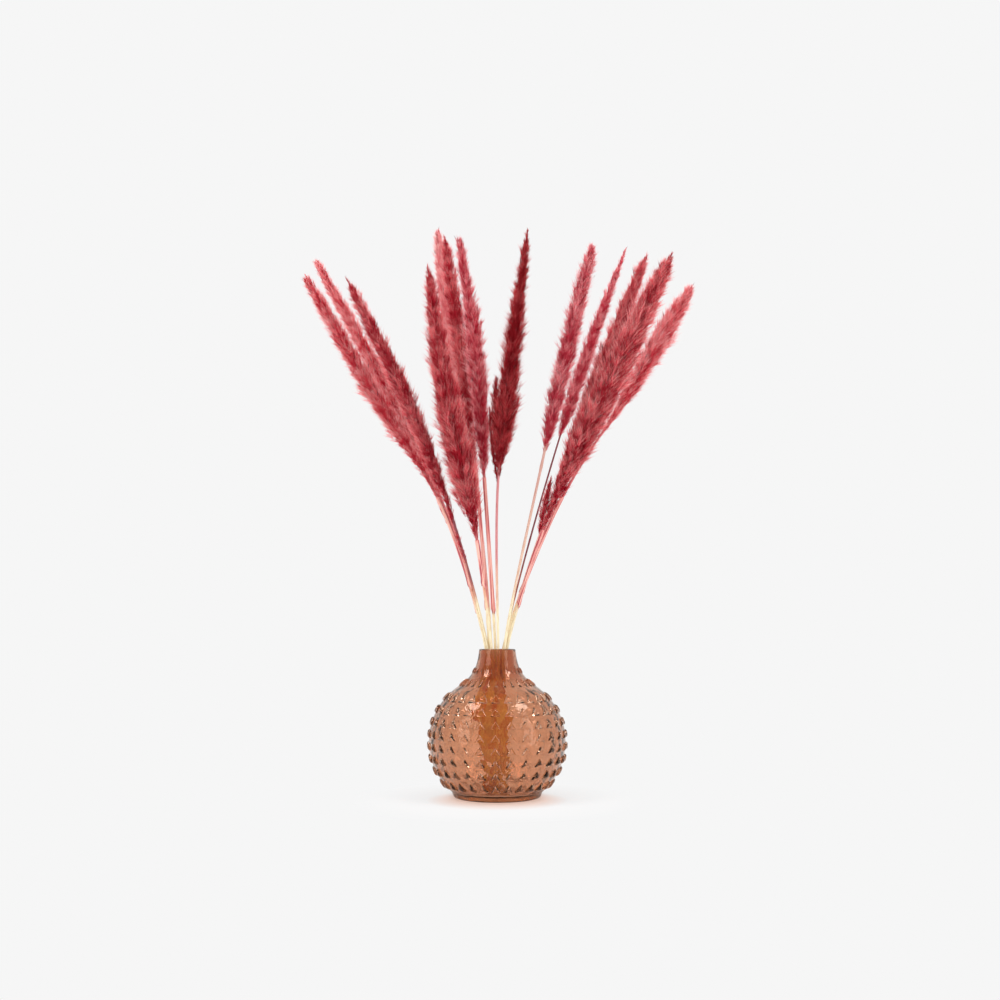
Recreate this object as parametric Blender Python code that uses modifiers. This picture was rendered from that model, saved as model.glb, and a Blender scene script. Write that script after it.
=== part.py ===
"""Vase of dried pampas grass.

A round bottle vase of rose-amber glass, studded with small raised triangles, holds thirteen
dyed grass stems. Each stem is a stalk with a feathery plume at its head, and the thicker
stalks keep a leaf sheath below the plume.

Metres, +Z up. The origin is the centre of the vase's flat underside, and the front faces -Y.
"""

import math
from dataclasses import dataclass

import bmesh
import bpy
from mathutils import Matrix, Vector
from mathutils.geometry import interpolate_bezier

MM = 0.001
FULL_TURN = math.tau

# Gap kept between neighbouring solids.
CLEARANCE = 0.3 * MM
MERGE_DISTANCE = 0.01 * MM

# Vase body: a spheroid cut flat at the foot, drawn up into a narrow neck.
VASE_HEIGHT = 143.3 * MM
BODY_RADIUS = 67.2 * MM
BODY_HALF_HEIGHT = 64.5 * MM
BODY_CENTRE_Z = 54.0 * MM
SHOULDER_Z = 107.0 * MM
MOUTH_RADIUS = 18.1 * MM
FOOT_RADIUS = 41.0 * MM
FOOT_EDGE_Z = 2.0 * MM
NECK_PULL_LOW = Vector((-12.0 * MM, 0.0, 8.0 * MM))
NECK_PULL_HIGH = Vector((1.1 * MM, 0.0, -19.3 * MM))

# Glass thickness.
WALL = 3.2 * MM
RIM_WALL = 2.7 * MM
FLOOR = 6.0 * MM

# Studs: raised triangles, point up, in upright columns and level rows.
COLUMNS = 28
ROWS = 10
FIRST_ROW_Z = 14.5 * MM
ROW_PITCH = 11.8 * MM
STUD_WIDTH = 9.8 * MM
STUD_FILL_ACROSS = 0.78
STUD_FILL_UP = 0.7
STUD_PROUD = 2.8 * MM
STUD_SUNK = 1.5 * MM
STUD_TAPER = 0.72
COLUMN_TURN = math.radians(5.0)

# Samples along the curves of the glass and of the stems.
NECK_STEPS = 24
STALK_STEPS_IN_VASE = 3
STALK_STEPS_ABOVE = 7
PLUME_STEPS = 5

# Bevel resolutions: 1 makes a tube of six sides, 2 one of eight.
STALK_ROUNDNESS = 1
PLUME_ROUNDNESS = 2

# Stems: how quickly a stalk bends once it is past the mouth, as a share of the even bend.
MOUTH_BEND = 0.45
FOOT_GAP = 0.5 * MM
SHEATH_WALL = 0.35 * MM
PLUME_OUTLINE = ((0.0, 0.16), (0.12, 0.45), (0.3, 0.85), (0.5, 1.0), (0.7, 0.86), (0.88, 0.5), (1.0, 0.1))

# Colours as linear RGB.
GLASS_COLOUR = (0.62, 0.22, 0.11)
STALK_COLOUR = (0.86, 0.66, 0.38)
SHEATH_COLOUR = (0.72, 0.22, 0.19)
PLUME_COLOUR = (0.50, 0.06, 0.08)


@dataclass(frozen=True)
class Stem:
    """One grass stem, in millimetres: where it stands, bends and ends, and how thick it is."""

    foot: tuple
    mouth: tuple
    base: tuple
    middle: tuple
    tip: tuple
    plume_radius: float
    stalk_radius: float
    sheath_steps: int = 0


# From the far left of the bunch to the far right.
STEMS = (
    Stem((-10, -4), (-11.2, -2.2), (-60, -9, 294), (-119, -22, 389), (-192, -36, 512), 9, 1.4, 4),
    Stem((-9.5, 2.5), (-10.8, 2.4), (-54, 16, 286), (-113, 32, 406), (-196, 50, 558), 10, 1.4, 5),
    Stem((-6, -8), (-9.2, -6.2), (-41, -20, 262), (-85, -44, 377), (-148, -68, 504), 10, 1.1),
    Stem((-1.5, -12), (-5.5, -9), (-20, -22, 250), (-50, -58, 391), (-67, -86, 510), 17, 1.5, 3),
    Stem((-5, 7.4), (-5.7, 7.4), (-22, 34, 312), (-51, 64, 468), (-67, 90, 607), 9, 1.2),
    Stem((-8.6, 6.1), (-8.2, 4.9), (-22, 12, 324), (-40, 22, 465), (-57, 32, 581), 11, 1.3, 5),
    Stem((-4.5, -3), (-2, -3.5), (-13, -9, 314), (-22, -15, 443), (-39, -18, 559), 11, 1.4, 5),
    Stem((1.5, -7), (1, -9.5), (1, -36, 309), (13, -66, 412), (29, -96, 541), 13, 1.3),
    Stem((6.5, -11), (7, -8), (46, -30, 334), (69, -46, 435), (93, -62, 536), 11, 1.3),
    Stem((5, 7.6), (7, 6.8), (65, 34, 362), (101, 50, 470), (141, 66, 578), 7, 0.9),
    Stem((9, 5), (9, 3), (59, 24, 300), (108, 62, 429), (169, 96, 585), 11, 1.4, 4),
    Stem((9.5, -4.5), (9.5, -3.5), (45, -13, 261), (107, -34, 395), (174, -52, 534), 17, 1.5, 4),
    Stem((6, -0.5), (6, -0.8), (66, 7, 296), (135, 22, 405), (207, 36, 526), 12, 1.4, 4),
)


def clear_scene():
    """Remove every object that is already in the file."""
    for item in list(bpy.data.objects):
        bpy.data.objects.remove(item, do_unlink=True)


def new_collection(name):
    """Make a collection under the scene's own."""
    collection = bpy.data.collections.new(name)
    bpy.context.scene.collection.children.link(collection)
    return collection


def new_material(name, colour, roughness, transmission=0.0):
    """Make a Principled material of one colour."""
    material = bpy.data.materials.new(name)
    material.use_nodes = True
    shader = material.node_tree.nodes["Principled BSDF"]
    shader.inputs["Base Color"].default_value = (*colour, 1.0)
    shader.inputs["Roughness"].default_value = roughness
    shader.inputs["Metallic"].default_value = 0.0
    shader.inputs["Transmission Weight"].default_value = transmission
    material.diffuse_color = (*colour, 1.0)
    return material


def new_mesh_object(name, mesh, collection):
    """Link a mesh to a collection as a new object."""
    item = bpy.data.objects.new(name, mesh)
    collection.objects.link(item)
    return item


def body_radius(z, inset=0.0):
    """Radius of the spheroid body at a height, drawn in by an inset."""
    reach = (z - BODY_CENTRE_Z) / (BODY_HALF_HEIGHT - inset)
    return (BODY_RADIUS - inset) * math.sqrt(1.0 - reach * reach)


def neck_curve(inset, rim_inset):
    """Points of the neck from the shoulder up to the rim, as (radius, height)."""
    shoulder = Vector((body_radius(SHOULDER_Z, inset), 0.0, SHOULDER_Z))
    rim = Vector((MOUTH_RADIUS - rim_inset, 0.0, VASE_HEIGHT))
    points = interpolate_bezier(shoulder, shoulder + NECK_PULL_LOW, rim + NECK_PULL_HIGH, rim, NECK_STEPS)
    return [(point.x, point.z) for point in points]


def wall_radius(z):
    """Outer radius of the smooth glass, without studs, at a height."""
    if z <= SHOULDER_Z:
        return body_radius(z)
    curve = neck_curve(0.0, 0.0)
    for (low_radius, low_z), (high_radius, high_z) in zip(curve, curve[1:]):
        if z <= high_z:
            share = (z - low_z) / (high_z - low_z)
            return low_radius + share * (high_radius - low_radius)
    return curve[-1][0]


def row_height(row):
    """Height of a stud row's centre; row 0 is the lowest."""
    return FIRST_ROW_Z + row * ROW_PITCH


def vase_profile():
    """Half section of the vase: inner floor, inner wall, rim, outer wall from top to foot, underside."""
    inside = [(0.0, FLOOR), (body_radius(FLOOR, WALL) - 2.0 * MM, FLOOR)]
    inside_rows = [row_height(row) for row in range(ROWS - 2)]
    inside += [(body_radius(z, WALL), z) for z in inside_rows]
    inside += neck_curve(WALL, RIM_WALL)[1::5]
    between_rows = [row_height(row) + ROW_PITCH / 2 for row in range(-1, ROWS)]
    outside = [(MOUTH_RADIUS, VASE_HEIGHT)]
    outside += [(wall_radius(z), z) for z in reversed(between_rows)]
    outside += [(wall_radius(FOOT_EDGE_Z), FOOT_EDGE_Z), (FOOT_RADIUS, 0.0), (0.0, 0.0)]
    return inside + outside


def make_profile_mesh(name, points):
    """Make a mesh of edges that runs through (radius, height) points."""
    mesh = bpy.data.meshes.new(name)
    corners = [(radius, 0.0, z) for radius, z in points]
    edges = [(index, index + 1) for index in range(len(points) - 1)]
    mesh.from_pydata(corners, edges, [])
    return mesh


def stud_frame(row, column):
    """Place a stud on the wall: X across the wall, Y up the wall, Z out of it."""
    z = row_height(row)
    step = ROW_PITCH / 4
    radius = wall_radius(z)
    up_slope = Vector((wall_radius(z + step) - wall_radius(z - step), 0.0, 2 * step)).normalized()
    outward = Vector((up_slope.z, 0.0, -up_slope.x))
    across = up_slope.cross(outward)
    frame = Matrix((across, up_slope, outward)).transposed().to_4x4()
    frame.translation = Vector((radius, 0.0, z))
    turn = (column + 0.5) * FULL_TURN / COLUMNS
    return Matrix.Rotation(turn, 4, "Z") @ frame


def stud_size(row):
    """Width, height and proudness of the studs in a row."""
    z = row_height(row)
    radius = wall_radius(z)
    width = min(STUD_WIDTH, STUD_FILL_ACROSS * FULL_TURN * radius / COLUMNS)
    drop = wall_radius(z - ROW_PITCH / 2) - wall_radius(z + ROW_PITCH / 2)
    height = STUD_FILL_UP * math.hypot(drop, ROW_PITCH)
    proud = STUD_PROUD * width / STUD_WIDTH
    return width, height, proud


def make_studs(collection):
    """Make every stud as a triangular block with sloping sides, in one mesh."""
    builder = bmesh.new()
    for row in range(ROWS):
        width, height, proud = stud_size(row)
        for column in range(COLUMNS):
            made = bmesh.ops.create_cone(
                builder,
                cap_ends=True,
                segments=3,
                radius1=1.0,
                radius2=STUD_TAPER,
                depth=1.0,
            )
            size = Matrix.Diagonal((width / math.sqrt(3.0), height / 1.5, proud + STUD_SUNK, 1.0))
            lift = Matrix.Translation((0.0, -height / 6, (proud - STUD_SUNK) / 2))
            bmesh.ops.transform(builder, matrix=stud_frame(row, column) @ lift @ size, verts=made["verts"])
    mesh = bpy.data.meshes.new("studs")
    builder.to_mesh(mesh)
    builder.free()
    studs = new_mesh_object("studs", mesh, collection)
    studs.hide_render = True
    studs.display_type = "WIRE"
    return studs


def make_vase(parts, cutters):
    """Turn the vase from its half section and join the studs to it."""
    vase = new_mesh_object("vase", make_profile_mesh("vase", vase_profile()), parts)
    vase.rotation_euler.z = COLUMN_TURN
    turning = vase.modifiers.new("turned", "SCREW")
    turning.axis = "Z"
    turning.angle = FULL_TURN
    turning.steps = COLUMNS
    turning.render_steps = COLUMNS
    turning.use_merge_vertices = True
    turning.merge_threshold = MERGE_DISTANCE
    turning.use_smooth_shade = True
    studs = make_studs(cutters)
    studs.parent = vase
    joining = vase.modifiers.new("studded", "BOOLEAN")
    joining.operation = "UNION"
    joining.solver = "EXACT"
    joining.object = studs
    vase.data.materials.append(new_material("rose_glass", GLASS_COLOUR, 0.05, 0.9))
    return vase


def stem_anchors(stem):
    """The five points that a stem passes through, in metres."""
    foot = Vector((*stem.foot, (FLOOR + FOOT_GAP) / MM))
    mouth = Vector((*stem.mouth, VASE_HEIGHT / MM))
    points = [foot, mouth, Vector(stem.base), Vector(stem.middle), Vector(stem.tip)]
    return [point * MM for point in points]


def anchor_directions(anchors):
    """Direction of travel at each anchor, nearer to that of the shorter neighbour stretch."""
    stretches = [after - before for before, after in zip(anchors, anchors[1:])]
    directions = [stretches[0].normalized()]
    for before, after in zip(stretches, stretches[1:]):
        blend = before.normalized() * after.length + after.normalized() * before.length
        directions.append(blend.normalized())
    directions.append(stretches[-1].normalized())
    return directions


def stem_paths(stem):
    """Points along a stem's stalk, from foot to plume, and along its plume, from base to tip."""
    anchors = stem_anchors(stem)
    directions = anchor_directions(anchors)
    steps = (STALK_STEPS_IN_VASE, STALK_STEPS_ABOVE, PLUME_STEPS, PLUME_STEPS)
    stretches = []
    for index, count in enumerate(steps):
        start, end = anchors[index], anchors[index + 1]
        pull = (end - start).length / 3
        leave = pull * MOUTH_BEND if index == 1 else pull
        near = start + directions[index] * leave
        far = end - directions[index + 1] * pull
        stretches.append(interpolate_bezier(start, near, far, end, count + 1))
    stalk = stretches[0] + stretches[1][1:]
    plume = stretches[2] + stretches[3][1:]
    stalk[-1] = stalk[-1] - directions[2] * CLEARANCE
    return stalk, plume


def outline_radius(share):
    """Plume radius at a share of its length, as a share of its greatest radius."""
    for (low, low_radius), (high, high_radius) in zip(PLUME_OUTLINE, PLUME_OUTLINE[1:]):
        if share <= high:
            return low_radius + (high_radius - low_radius) * (share - low) / (high - low)
    return PLUME_OUTLINE[-1][1]


def make_tube(name, points, radii, roundness, capped=True):
    """Make a round tube along points, with its own radius at each."""
    curve = bpy.data.curves.new(name, "CURVE")
    curve.dimensions = "3D"
    curve.bevel_depth = 1.0
    curve.bevel_resolution = roundness
    curve.use_fill_caps = capped
    spline = curve.splines.new("POLY")
    spline.points.add(len(points) - 1)
    for knot, point, radius in zip(spline.points, points, radii):
        knot.co = (*point, 1.0)
        knot.radius = radius
    spline.use_smooth = True
    return bpy.data.objects.new(name, curve)


def make_stalk(name, points, stem, material, parts):
    """Make a bare stalk, standing in the vase and ending just below its plume."""
    radius = stem.stalk_radius * MM
    stalk = make_tube(name, points, [radius] * len(points), STALK_ROUNDNESS)
    stalk.data.materials.append(material)
    parts.objects.link(stalk)


def make_plume(name, points, stem, material, parts):
    """Make a plume's outer shape: a bent spindle that reaches the tips of its fibres."""
    widest = stem.plume_radius * MM
    last = len(points) - 1
    radii = [widest * outline_radius(index / last) for index in range(len(points))]
    plume = make_tube(name, points, radii, PLUME_ROUNDNESS)
    plume.data.materials.append(material)
    parts.objects.link(plume)


def make_sheath(name, points, stem, material, parts):
    """Make the leaf sheath that wraps the upper stalk: an open tube with a thin wall."""
    inner_radius = stem.stalk_radius * MM + CLEARANCE
    wrapped = points[-1 - stem.sheath_steps:]
    radii = [inner_radius] * len(wrapped)
    guide = make_tube("sheath_guide", wrapped, radii, STALK_ROUNDNESS, capped=False)
    bpy.context.scene.collection.objects.link(guide)
    evaluated = guide.evaluated_get(bpy.context.evaluated_depsgraph_get())
    mesh = bpy.data.meshes.new_from_object(evaluated)
    mesh.name = name
    sheath = bpy.data.objects.new(name, mesh)
    sheath.matrix_world = guide.matrix_world
    bpy.data.objects.remove(guide, do_unlink=True)
    parts.objects.link(sheath)
    wall = sheath.modifiers.new("wall", "SOLIDIFY")
    wall.thickness = SHEATH_WALL
    wall.offset = 1.0
    mesh.materials.clear()
    mesh.materials.append(material)


def main():
    """Build the vase, then each stem with its plume and sheath."""
    clear_scene()
    parts = new_collection("vase_of_dried_pampas_grass")
    cutters = new_collection("joined_shapes")
    make_vase(parts, cutters)
    stalk_material = new_material("dried_stalk", STALK_COLOUR, 0.6)
    sheath_material = new_material("dyed_sheath", SHEATH_COLOUR, 0.7)
    plume_material = new_material("dyed_plume", PLUME_COLOUR, 0.95)
    for number, stem in enumerate(STEMS, start=1):
        stalk_points, plume_points = stem_paths(stem)
        make_stalk(f"stalk_{number:02d}", stalk_points, stem, stalk_material, parts)
        make_plume(f"plume_{number:02d}", plume_points, stem, plume_material, parts)
        if stem.sheath_steps:
            make_sheath(f"leaf_sheath_{number:02d}", stalk_points, stem, sheath_material, parts)


main()
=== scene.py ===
"""A round studded glass vase that holds thirteen stems of dyed pampas grass.

Lengths are in metres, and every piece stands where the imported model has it.
Each class makes one kind of piece: the glass, the stalks, the leaf sheaths and
the plumes, and one more sets up the room that they stand in.
"""

import logging
import math
from dataclasses import dataclass, field
from enum import Enum
from typing import Any, Sequence

import bmesh
import bpy
import numpy as np
from mathutils import Matrix, Vector, noise


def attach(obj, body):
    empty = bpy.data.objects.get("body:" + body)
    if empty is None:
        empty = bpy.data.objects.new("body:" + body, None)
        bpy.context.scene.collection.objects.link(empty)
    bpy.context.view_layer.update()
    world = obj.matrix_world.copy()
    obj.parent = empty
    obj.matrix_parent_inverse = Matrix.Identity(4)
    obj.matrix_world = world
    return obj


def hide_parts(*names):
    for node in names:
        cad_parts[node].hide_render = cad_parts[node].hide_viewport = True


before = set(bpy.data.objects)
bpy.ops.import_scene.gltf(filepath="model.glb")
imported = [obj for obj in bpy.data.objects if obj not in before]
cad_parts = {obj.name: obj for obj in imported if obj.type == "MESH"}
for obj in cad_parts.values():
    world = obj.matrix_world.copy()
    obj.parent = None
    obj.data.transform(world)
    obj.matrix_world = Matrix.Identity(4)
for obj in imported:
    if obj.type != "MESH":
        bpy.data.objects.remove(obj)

LOG = logging.getLogger("pampas_vase")
MM = 0.001
FULL_TURN = 2 * math.pi
SHADE_ROWS = 16
SEED_CASE_ROW, CORE_ROW, FIRST_TUFT_ROW = 0, 1, 2
COLOUR_MAP = "OFBake"
TUFT_DRAWS, CASE_DRAWS, SPARE_DRAW = 1, 11, 41
PLAIN_STALK_SIDES, PLAIN_PLUME_SIDES = 6, 8
Socket = bpy.types.NodeSocket
Feeds = dict[int | str, Any]


@dataclass(frozen=True)
class Tint:
    """A colour in steps of 0 to 255."""

    red: int
    green: int
    blue: int

    def linear(self) -> tuple[float, float, float, float]:
        """Turn the colour into linear light.

        Returns:
            Its red, green and blue, and full alpha.
        """
        steps = (self.red / 255, self.green / 255, self.blue / 255)
        light = [s / 12.92 if s <= 0.04045 else ((s + 0.055) / 1.055) ** 2.4 for s in steps]
        return (light[0], light[1], light[2], 1.0)


WHITE = Tint(255, 255, 255)


class Bench:
    """Lays nodes into one tree and joins them."""

    def __init__(self, tree: bpy.types.NodeTree) -> None:
        """Keep the tree."""
        self.tree = tree

    @classmethod
    def cleared(cls, owner: bpy.types.Material | bpy.types.World) -> "Bench":
        """Empty the tree of a material or of the world, and take it.

        Args:
            owner: The material or the world.

        Returns:
            A bench for its tree.
        """
        owner.use_nodes = True
        owner.node_tree.nodes.clear()
        return cls(owner.node_tree)

    @staticmethod
    def find(sockets: Sequence[Socket], key: int | str) -> Socket:
        """Find a node's socket by its identifier, or else by its place or its name."""
        exact = [socket for socket in sockets if socket.identifier == key]
        return exact[0] if exact else sockets[key]

    def node(self, kind: str, feeds: Feeds | None = None, **settings: Any) -> bpy.types.Node:
        """Add a node.

        Args:
            kind: The node's type name.
            feeds: What goes into its sockets: a value, or another node's socket.
            **settings: The node's own options.

        Returns:
            The node.
        """
        made = self.tree.nodes.new(kind)
        for name, value in settings.items():
            setattr(made, name, value)
        for key, value in (feeds or {}).items():
            socket = self.find(made.inputs, key)
            if isinstance(value, Socket):
                self.tree.links.new(value, socket)
            else:
                socket.default_value = value
        return made

    def shade(self, kind: str, feeds: Feeds | None = None, key: int | str = 0, **settings: Any) -> Socket:
        """Add a shader node, or a sum, and return one of its outputs."""
        return self.find(self.node(f"ShaderNode{kind}", feeds, **settings).outputs, key)

    def shape(self, kind: str, feeds: Feeds | None = None, key: int | str = 0, **settings: Any) -> Socket:
        """Add a geometry node and return one of its outputs."""
        return self.find(self.node(f"GeometryNode{kind}", feeds, **settings).outputs, key)

    def maths(self, operation: str, *values: Any) -> Socket:
        """Return the result of a sum of numbers."""
        return self.shade("Math", dict(enumerate(values)), operation=operation)

    def held(self, value: Any, low: Any, high: Any) -> Socket:
        """Return a number held between two others."""
        return self.maths("MINIMUM", self.maths("MAXIMUM", value, low), high)

    def vector(self, operation: str, *values: Any, key: str = "Vector") -> Socket:
        """Return one result of a sum of vectors."""
        return self.shade("VectorMath", dict(enumerate(values)), key, operation=operation)

    def scaled(self, value: Any, by: Any) -> Socket:
        """Return a vector times a number."""
        return self.shade("VectorMath", {0: value, "Scale": by}, "Vector", operation="SCALE")

    def xyz(self, *parts: Any) -> Socket:
        """Return a vector of up to three numbers."""
        return self.shade("CombineXYZ", dict(enumerate(parts)))

    def between(self, value: Any, low: float, high: float, to_low: Any = 0.0, to_high: Any = 1.0) -> Socket:
        """Return a number mapped from one range to another, and held there."""
        return self.shade("MapRange", dict(enumerate((value, low, high, to_low, to_high))))

    def noise(self, place: Any, scale: float, detail: float = 2.0) -> Socket:
        """Return smooth noise, from 0 to 1, at a place."""
        return self.shade("TexNoise", {"Vector": place, "Scale": scale, "Detail": detail})

    def spread(self, value: Any, to_low: float, to_high: float) -> Socket:
        """Return smooth noise mapped to a range; most of it lies between 0.3 and 0.7."""
        return self.between(value, 0.3, 0.7, to_low, to_high)

    def ramp(self, value: Any, *stops: tuple[float, Tint]) -> Socket:
        """Turn a number into a colour.

        Args:
            value: The number, from 0 to 1.
            *stops: Places on the ramp and their colours.

        Returns:
            The colour.
        """
        made = self.node("ShaderNodeValToRGB", {0: value})
        while len(made.color_ramp.elements) < len(stops):
            made.color_ramp.elements.new(1.0)
        for element, (place, tint) in zip(made.color_ramp.elements, stops):
            element.position, element.color = place, tint.linear()
        return made.outputs["Color"]

    def blend(self, share: Any, first: Any, second: Any, mode: str = "MIX") -> Socket:
        """Return a blend of two colours."""
        feeds = {"Factor_Float": share, "A_Color": first, "B_Color": second}
        return self.shade("Mix", feeds, "Result_Color", data_type="RGBA", blend_type=mode)

    def read(self, name: str, kind: str = "FLOAT") -> Socket:
        """Return a value that the geometry carries by name."""
        return self.shape("InputNamedAttribute", {0: name}, data_type=kind)

    def store(
        self, geometry: Socket, name: str, value: Any, kind: str = "FLOAT", domain: str = "POINT"
    ) -> Socket:
        """Write a value on the geometry by name."""
        feeds = {"Geometry": geometry, "Name": name, "Value": value}
        return self.shape("StoreNamedAttribute", feeds, data_type=kind, domain=domain)

    def gather(self, kind: str, key: int | str, parts: Sequence[Socket], **settings: Any) -> Socket:
        """Feed several geometries into one socket of a new geometry node.

        Args:
            kind: The node's type name, without its first part.
            key: The socket.
            parts: The geometries.
            **settings: The node's own options.

        Returns:
            The node's result.
        """
        made = self.node(f"GeometryNode{kind}", **settings)
        for part in parts:
            self.tree.links.new(part, self.find(made.inputs, key))
        return made.outputs[0]

    def shown(self, item: Socket, whole: bool = True) -> Socket:
        """Return an object's geometry, as one whole that can be placed or as its parts."""
        return self.shape("ObjectInfo", {"Object": item, "As Instance": whole}, "Geometry")

    def plant(self, aim: Socket, side: Socket, side_axis: str, **feeds: Any) -> Socket:
        """Set shapes at points, as real geometry.

        Args:
            aim: Where a shape's Z points.
            side: Where its side axis points, as near as it can.
            side_axis: That axis.
            **feeds: The points, the shapes and their scale, with _ for a space.

        Returns:
            The placed shapes.
        """
        axes = {"Primary Axis": aim, "Secondary Axis": side}
        turn = self.node("FunctionNodeAxesToRotation", axes, primary_axis="Z", secondary_axis=side_axis)
        named = {key.replace("_", " "): value for key, value in feeds.items()}
        placed = self.shape("InstanceOnPoints", {"Rotation": turn.outputs[0], **named})
        return self.shape("RealizeInstances", {0: placed})

    def tube(self, line: Socket, girth: Socket, corners: int, mark: str) -> Socket:
        """Skin a line with a closed tube.

        Args:
            line: The line.
            girth: The tube's radius.
            corners: How many corners it has round.
            mark: Name under which each corner's share of a turn is kept.

        Returns:
            The tube.
        """
        ring = self.shape("CurvePrimitiveCircle", {"Resolution": corners, "Radius": 1.0})
        marked = self.store(ring, mark, self.shape("SplineParameter", key="Factor"))
        feeds = {"Curve": line, "Profile Curve": marked, "Scale": girth, "Fill Caps": True}
        return self.shape("CurveToMesh", feeds)


class Paint:
    """A new material with one principled shader."""

    def __init__(self, name: str, **values: Any) -> None:
        """Make the material, its shader and its output.

        Args:
            name: The material's name.
            **values: Plain values for the shader's sockets, with _ for a space.
        """
        self.material = bpy.data.materials.new(name)
        self.bench = Bench.cleared(self.material)
        feeds = {key.replace("_", " "): value for key, value in values.items()}
        self.shader = self.bench.node("ShaderNodeBsdfPrincipled", feeds)
        self.output = self.bench.node("ShaderNodeOutputMaterial", {"Surface": self.shader.outputs[0]})

    def set(self, socket: str, value: Socket) -> None:
        """Feed one socket of the shader from another node."""
        self.bench.tree.links.new(value, self.shader.inputs[socket])

    def place(self) -> Socket:
        """Return the place on the piece, in metres."""
        return self.bench.shade("TexCoord", key="Object")

    def height(self) -> Socket:
        """Return the height on the piece, in metres."""
        return self.bench.shade("SeparateXYZ", {0: self.place()}, "Z")

    def mark(self, name: str) -> Socket:
        """Return a number that the piece carries by name."""
        return self.bench.shade("Attribute", key="Fac", attribute_name=name)

    def streaks(self, pitch: float, scale: float) -> Socket:
        """Draw lengthwise streaks.

        Args:
            pitch: How fast they change along the piece.
            scale: How fine they are.

        Returns:
            Their pattern, from 0 to 1.
        """
        around = self.bench.maths("MULTIPLY", self.mark("around"), 9.0)
        along = self.bench.maths("MULTIPLY", self.mark("along"), pitch)
        return self.bench.noise(self.bench.xyz(around, along), scale, 3.0)

    def bump(self, height: Socket, distance: float, strength: float = 0.6) -> None:
        """Raise the surface by a height pattern."""
        feeds = {"Height": height, "Distance": distance, "Strength": strength}
        self.set("Normal", self.bench.shade("Bump", feeds))


class Recipe:
    """A node recipe that turns a guide into one finished piece."""

    def __init__(self, name: str) -> None:
        """Make the tree with its guide, its result and its material.

        Args:
            name: The recipe's name.
        """
        self.tree = bpy.data.node_groups.new(name, "GeometryNodeTree")
        self.bench = Bench(self.tree)
        self.sizes: dict[str, str] = {}
        self.tree.interface.new_socket(name="Piece", in_out="OUTPUT", socket_type="NodeSocketGeometry")
        self.start = self.tree.nodes.new("NodeGroupInput")
        self.guide = self.size("Guide", "NodeSocketGeometry")
        self.size("Finish", "NodeSocketMaterial")

    def size(self, name: str, kind: str = "NodeSocketFloat") -> Socket:
        """Add a named input.

        Args:
            name: The input's name.
            kind: The input's socket type.

        Returns:
            Its value inside the recipe.
        """
        made = self.tree.interface.new_socket(name=name, in_out="INPUT", socket_type=kind)
        self.sizes[name] = made.identifier
        return self.given(name)

    def given(self, name: str) -> Socket:
        """Return the value of a named input inside the recipe."""
        return Bench.find(self.start.outputs, self.sizes[name])

    def chance(self, low: float, high: float, step: int) -> Socket:
        """Return a seeded random number for each point.

        Args:
            low: Least value.
            high: Greatest value.
            step: Tells this draw from the others.

        Returns:
            The number.
        """
        feeds = {"Min_001": low, "Max_001": high, "Seed": self.bench.maths("ADD", self.given("Seed"), step)}
        made = self.bench.node("FunctionNodeRandomValue", feeds, data_type="FLOAT")
        return Bench.find(made.outputs, "Value_001")

    def end(self, geometry: Socket) -> None:
        """Close the recipe with real geometry and its material.

        Args:
            geometry: What the recipe has made.
        """
        real = self.bench.shape("RealizeInstances", {0: geometry})
        dressed = self.bench.shape("SetMaterial", {0: real, "Material": self.given("Finish")})
        self.bench.node("NodeGroupOutput", {0: dressed})

    def make(self, name: str, guide: bpy.types.Object, **values: Any) -> bpy.types.Object:
        """Run the recipe on a guide and keep the result as a plain mesh.

        Args:
            name: The new piece's name.
            guide: The object that the recipe starts from, which is used up.
            **values: The inputs' values by name, with _ for a space.

        Returns:
            The finished piece.
        """
        modifier = guide.modifiers.new(self.tree.name, "NODES")
        modifier.node_group = self.tree
        for key, value in values.items():
            modifier[self.sizes[key.replace("_", " ")]] = value
        bpy.context.view_layer.update()
        evaluated = guide.evaluated_get(bpy.context.evaluated_depsgraph_get())
        mesh = bpy.data.meshes.new_from_object(evaluated)
        guide.modifiers.remove(modifier)
        bpy.data.objects.remove(guide, do_unlink=True)
        mesh.name = name
        return new_piece(name, mesh)


def new_piece(name: str, data: bpy.types.ID | None) -> bpy.types.Object:
    """Put something into the scene.

    Args:
        name: The name that it gets there.
        data: The mesh, the lamp or the camera.

    Returns:
        The object that shows it.
    """
    piece = bpy.data.objects.new(name, data)
    bpy.context.scene.collection.objects.link(piece)
    return piece


def new_shape(
    name: str,
    places: Sequence[Sequence[float]],
    edges: Sequence[tuple[int, int]] = (),
    faces: Sequence[tuple[int, ...]] = (),
    **values: Any,
) -> bpy.types.Object:
    """Make a shape that carries values at its places.

    Args:
        name: The shape's name.
        places: Its places.
        edges: Its free edges.
        faces: Its faces.
        **values: A number or a vector for each place, by name.

    Returns:
        The shape.
    """
    mesh = bpy.data.meshes.new(name)
    mesh.from_pydata([tuple(place) for place in places], list(edges), list(faces))
    for key, value in values.items():
        numbers = np.array(value, np.float32)
        kind, slot = ("FLOAT_VECTOR", "vector") if numbers.ndim == 2 else ("FLOAT", "value")
        mesh.attributes.new(key, kind, "POINT").data.foreach_set(slot, numbers.ravel())
    return new_piece(name, mesh)


def new_guide(name: str, *lines: tuple[np.ndarray, np.ndarray, np.ndarray]) -> bpy.types.Object:
    """Draw guide lines.

    Args:
        name: The guide's name.
        *lines: The places of each line, their girths and how far along they are.

    Returns:
        The guide.
    """
    places, girths, reaches = (np.concatenate(parts) for parts in zip(*lines))
    starts = np.cumsum([len(line[0]) for line in lines])
    edges = [(index - 1, index) for index in range(1, len(places)) if index not in starts]
    return new_shape(name, places, edges, girth=girths, along=reaches)


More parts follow.
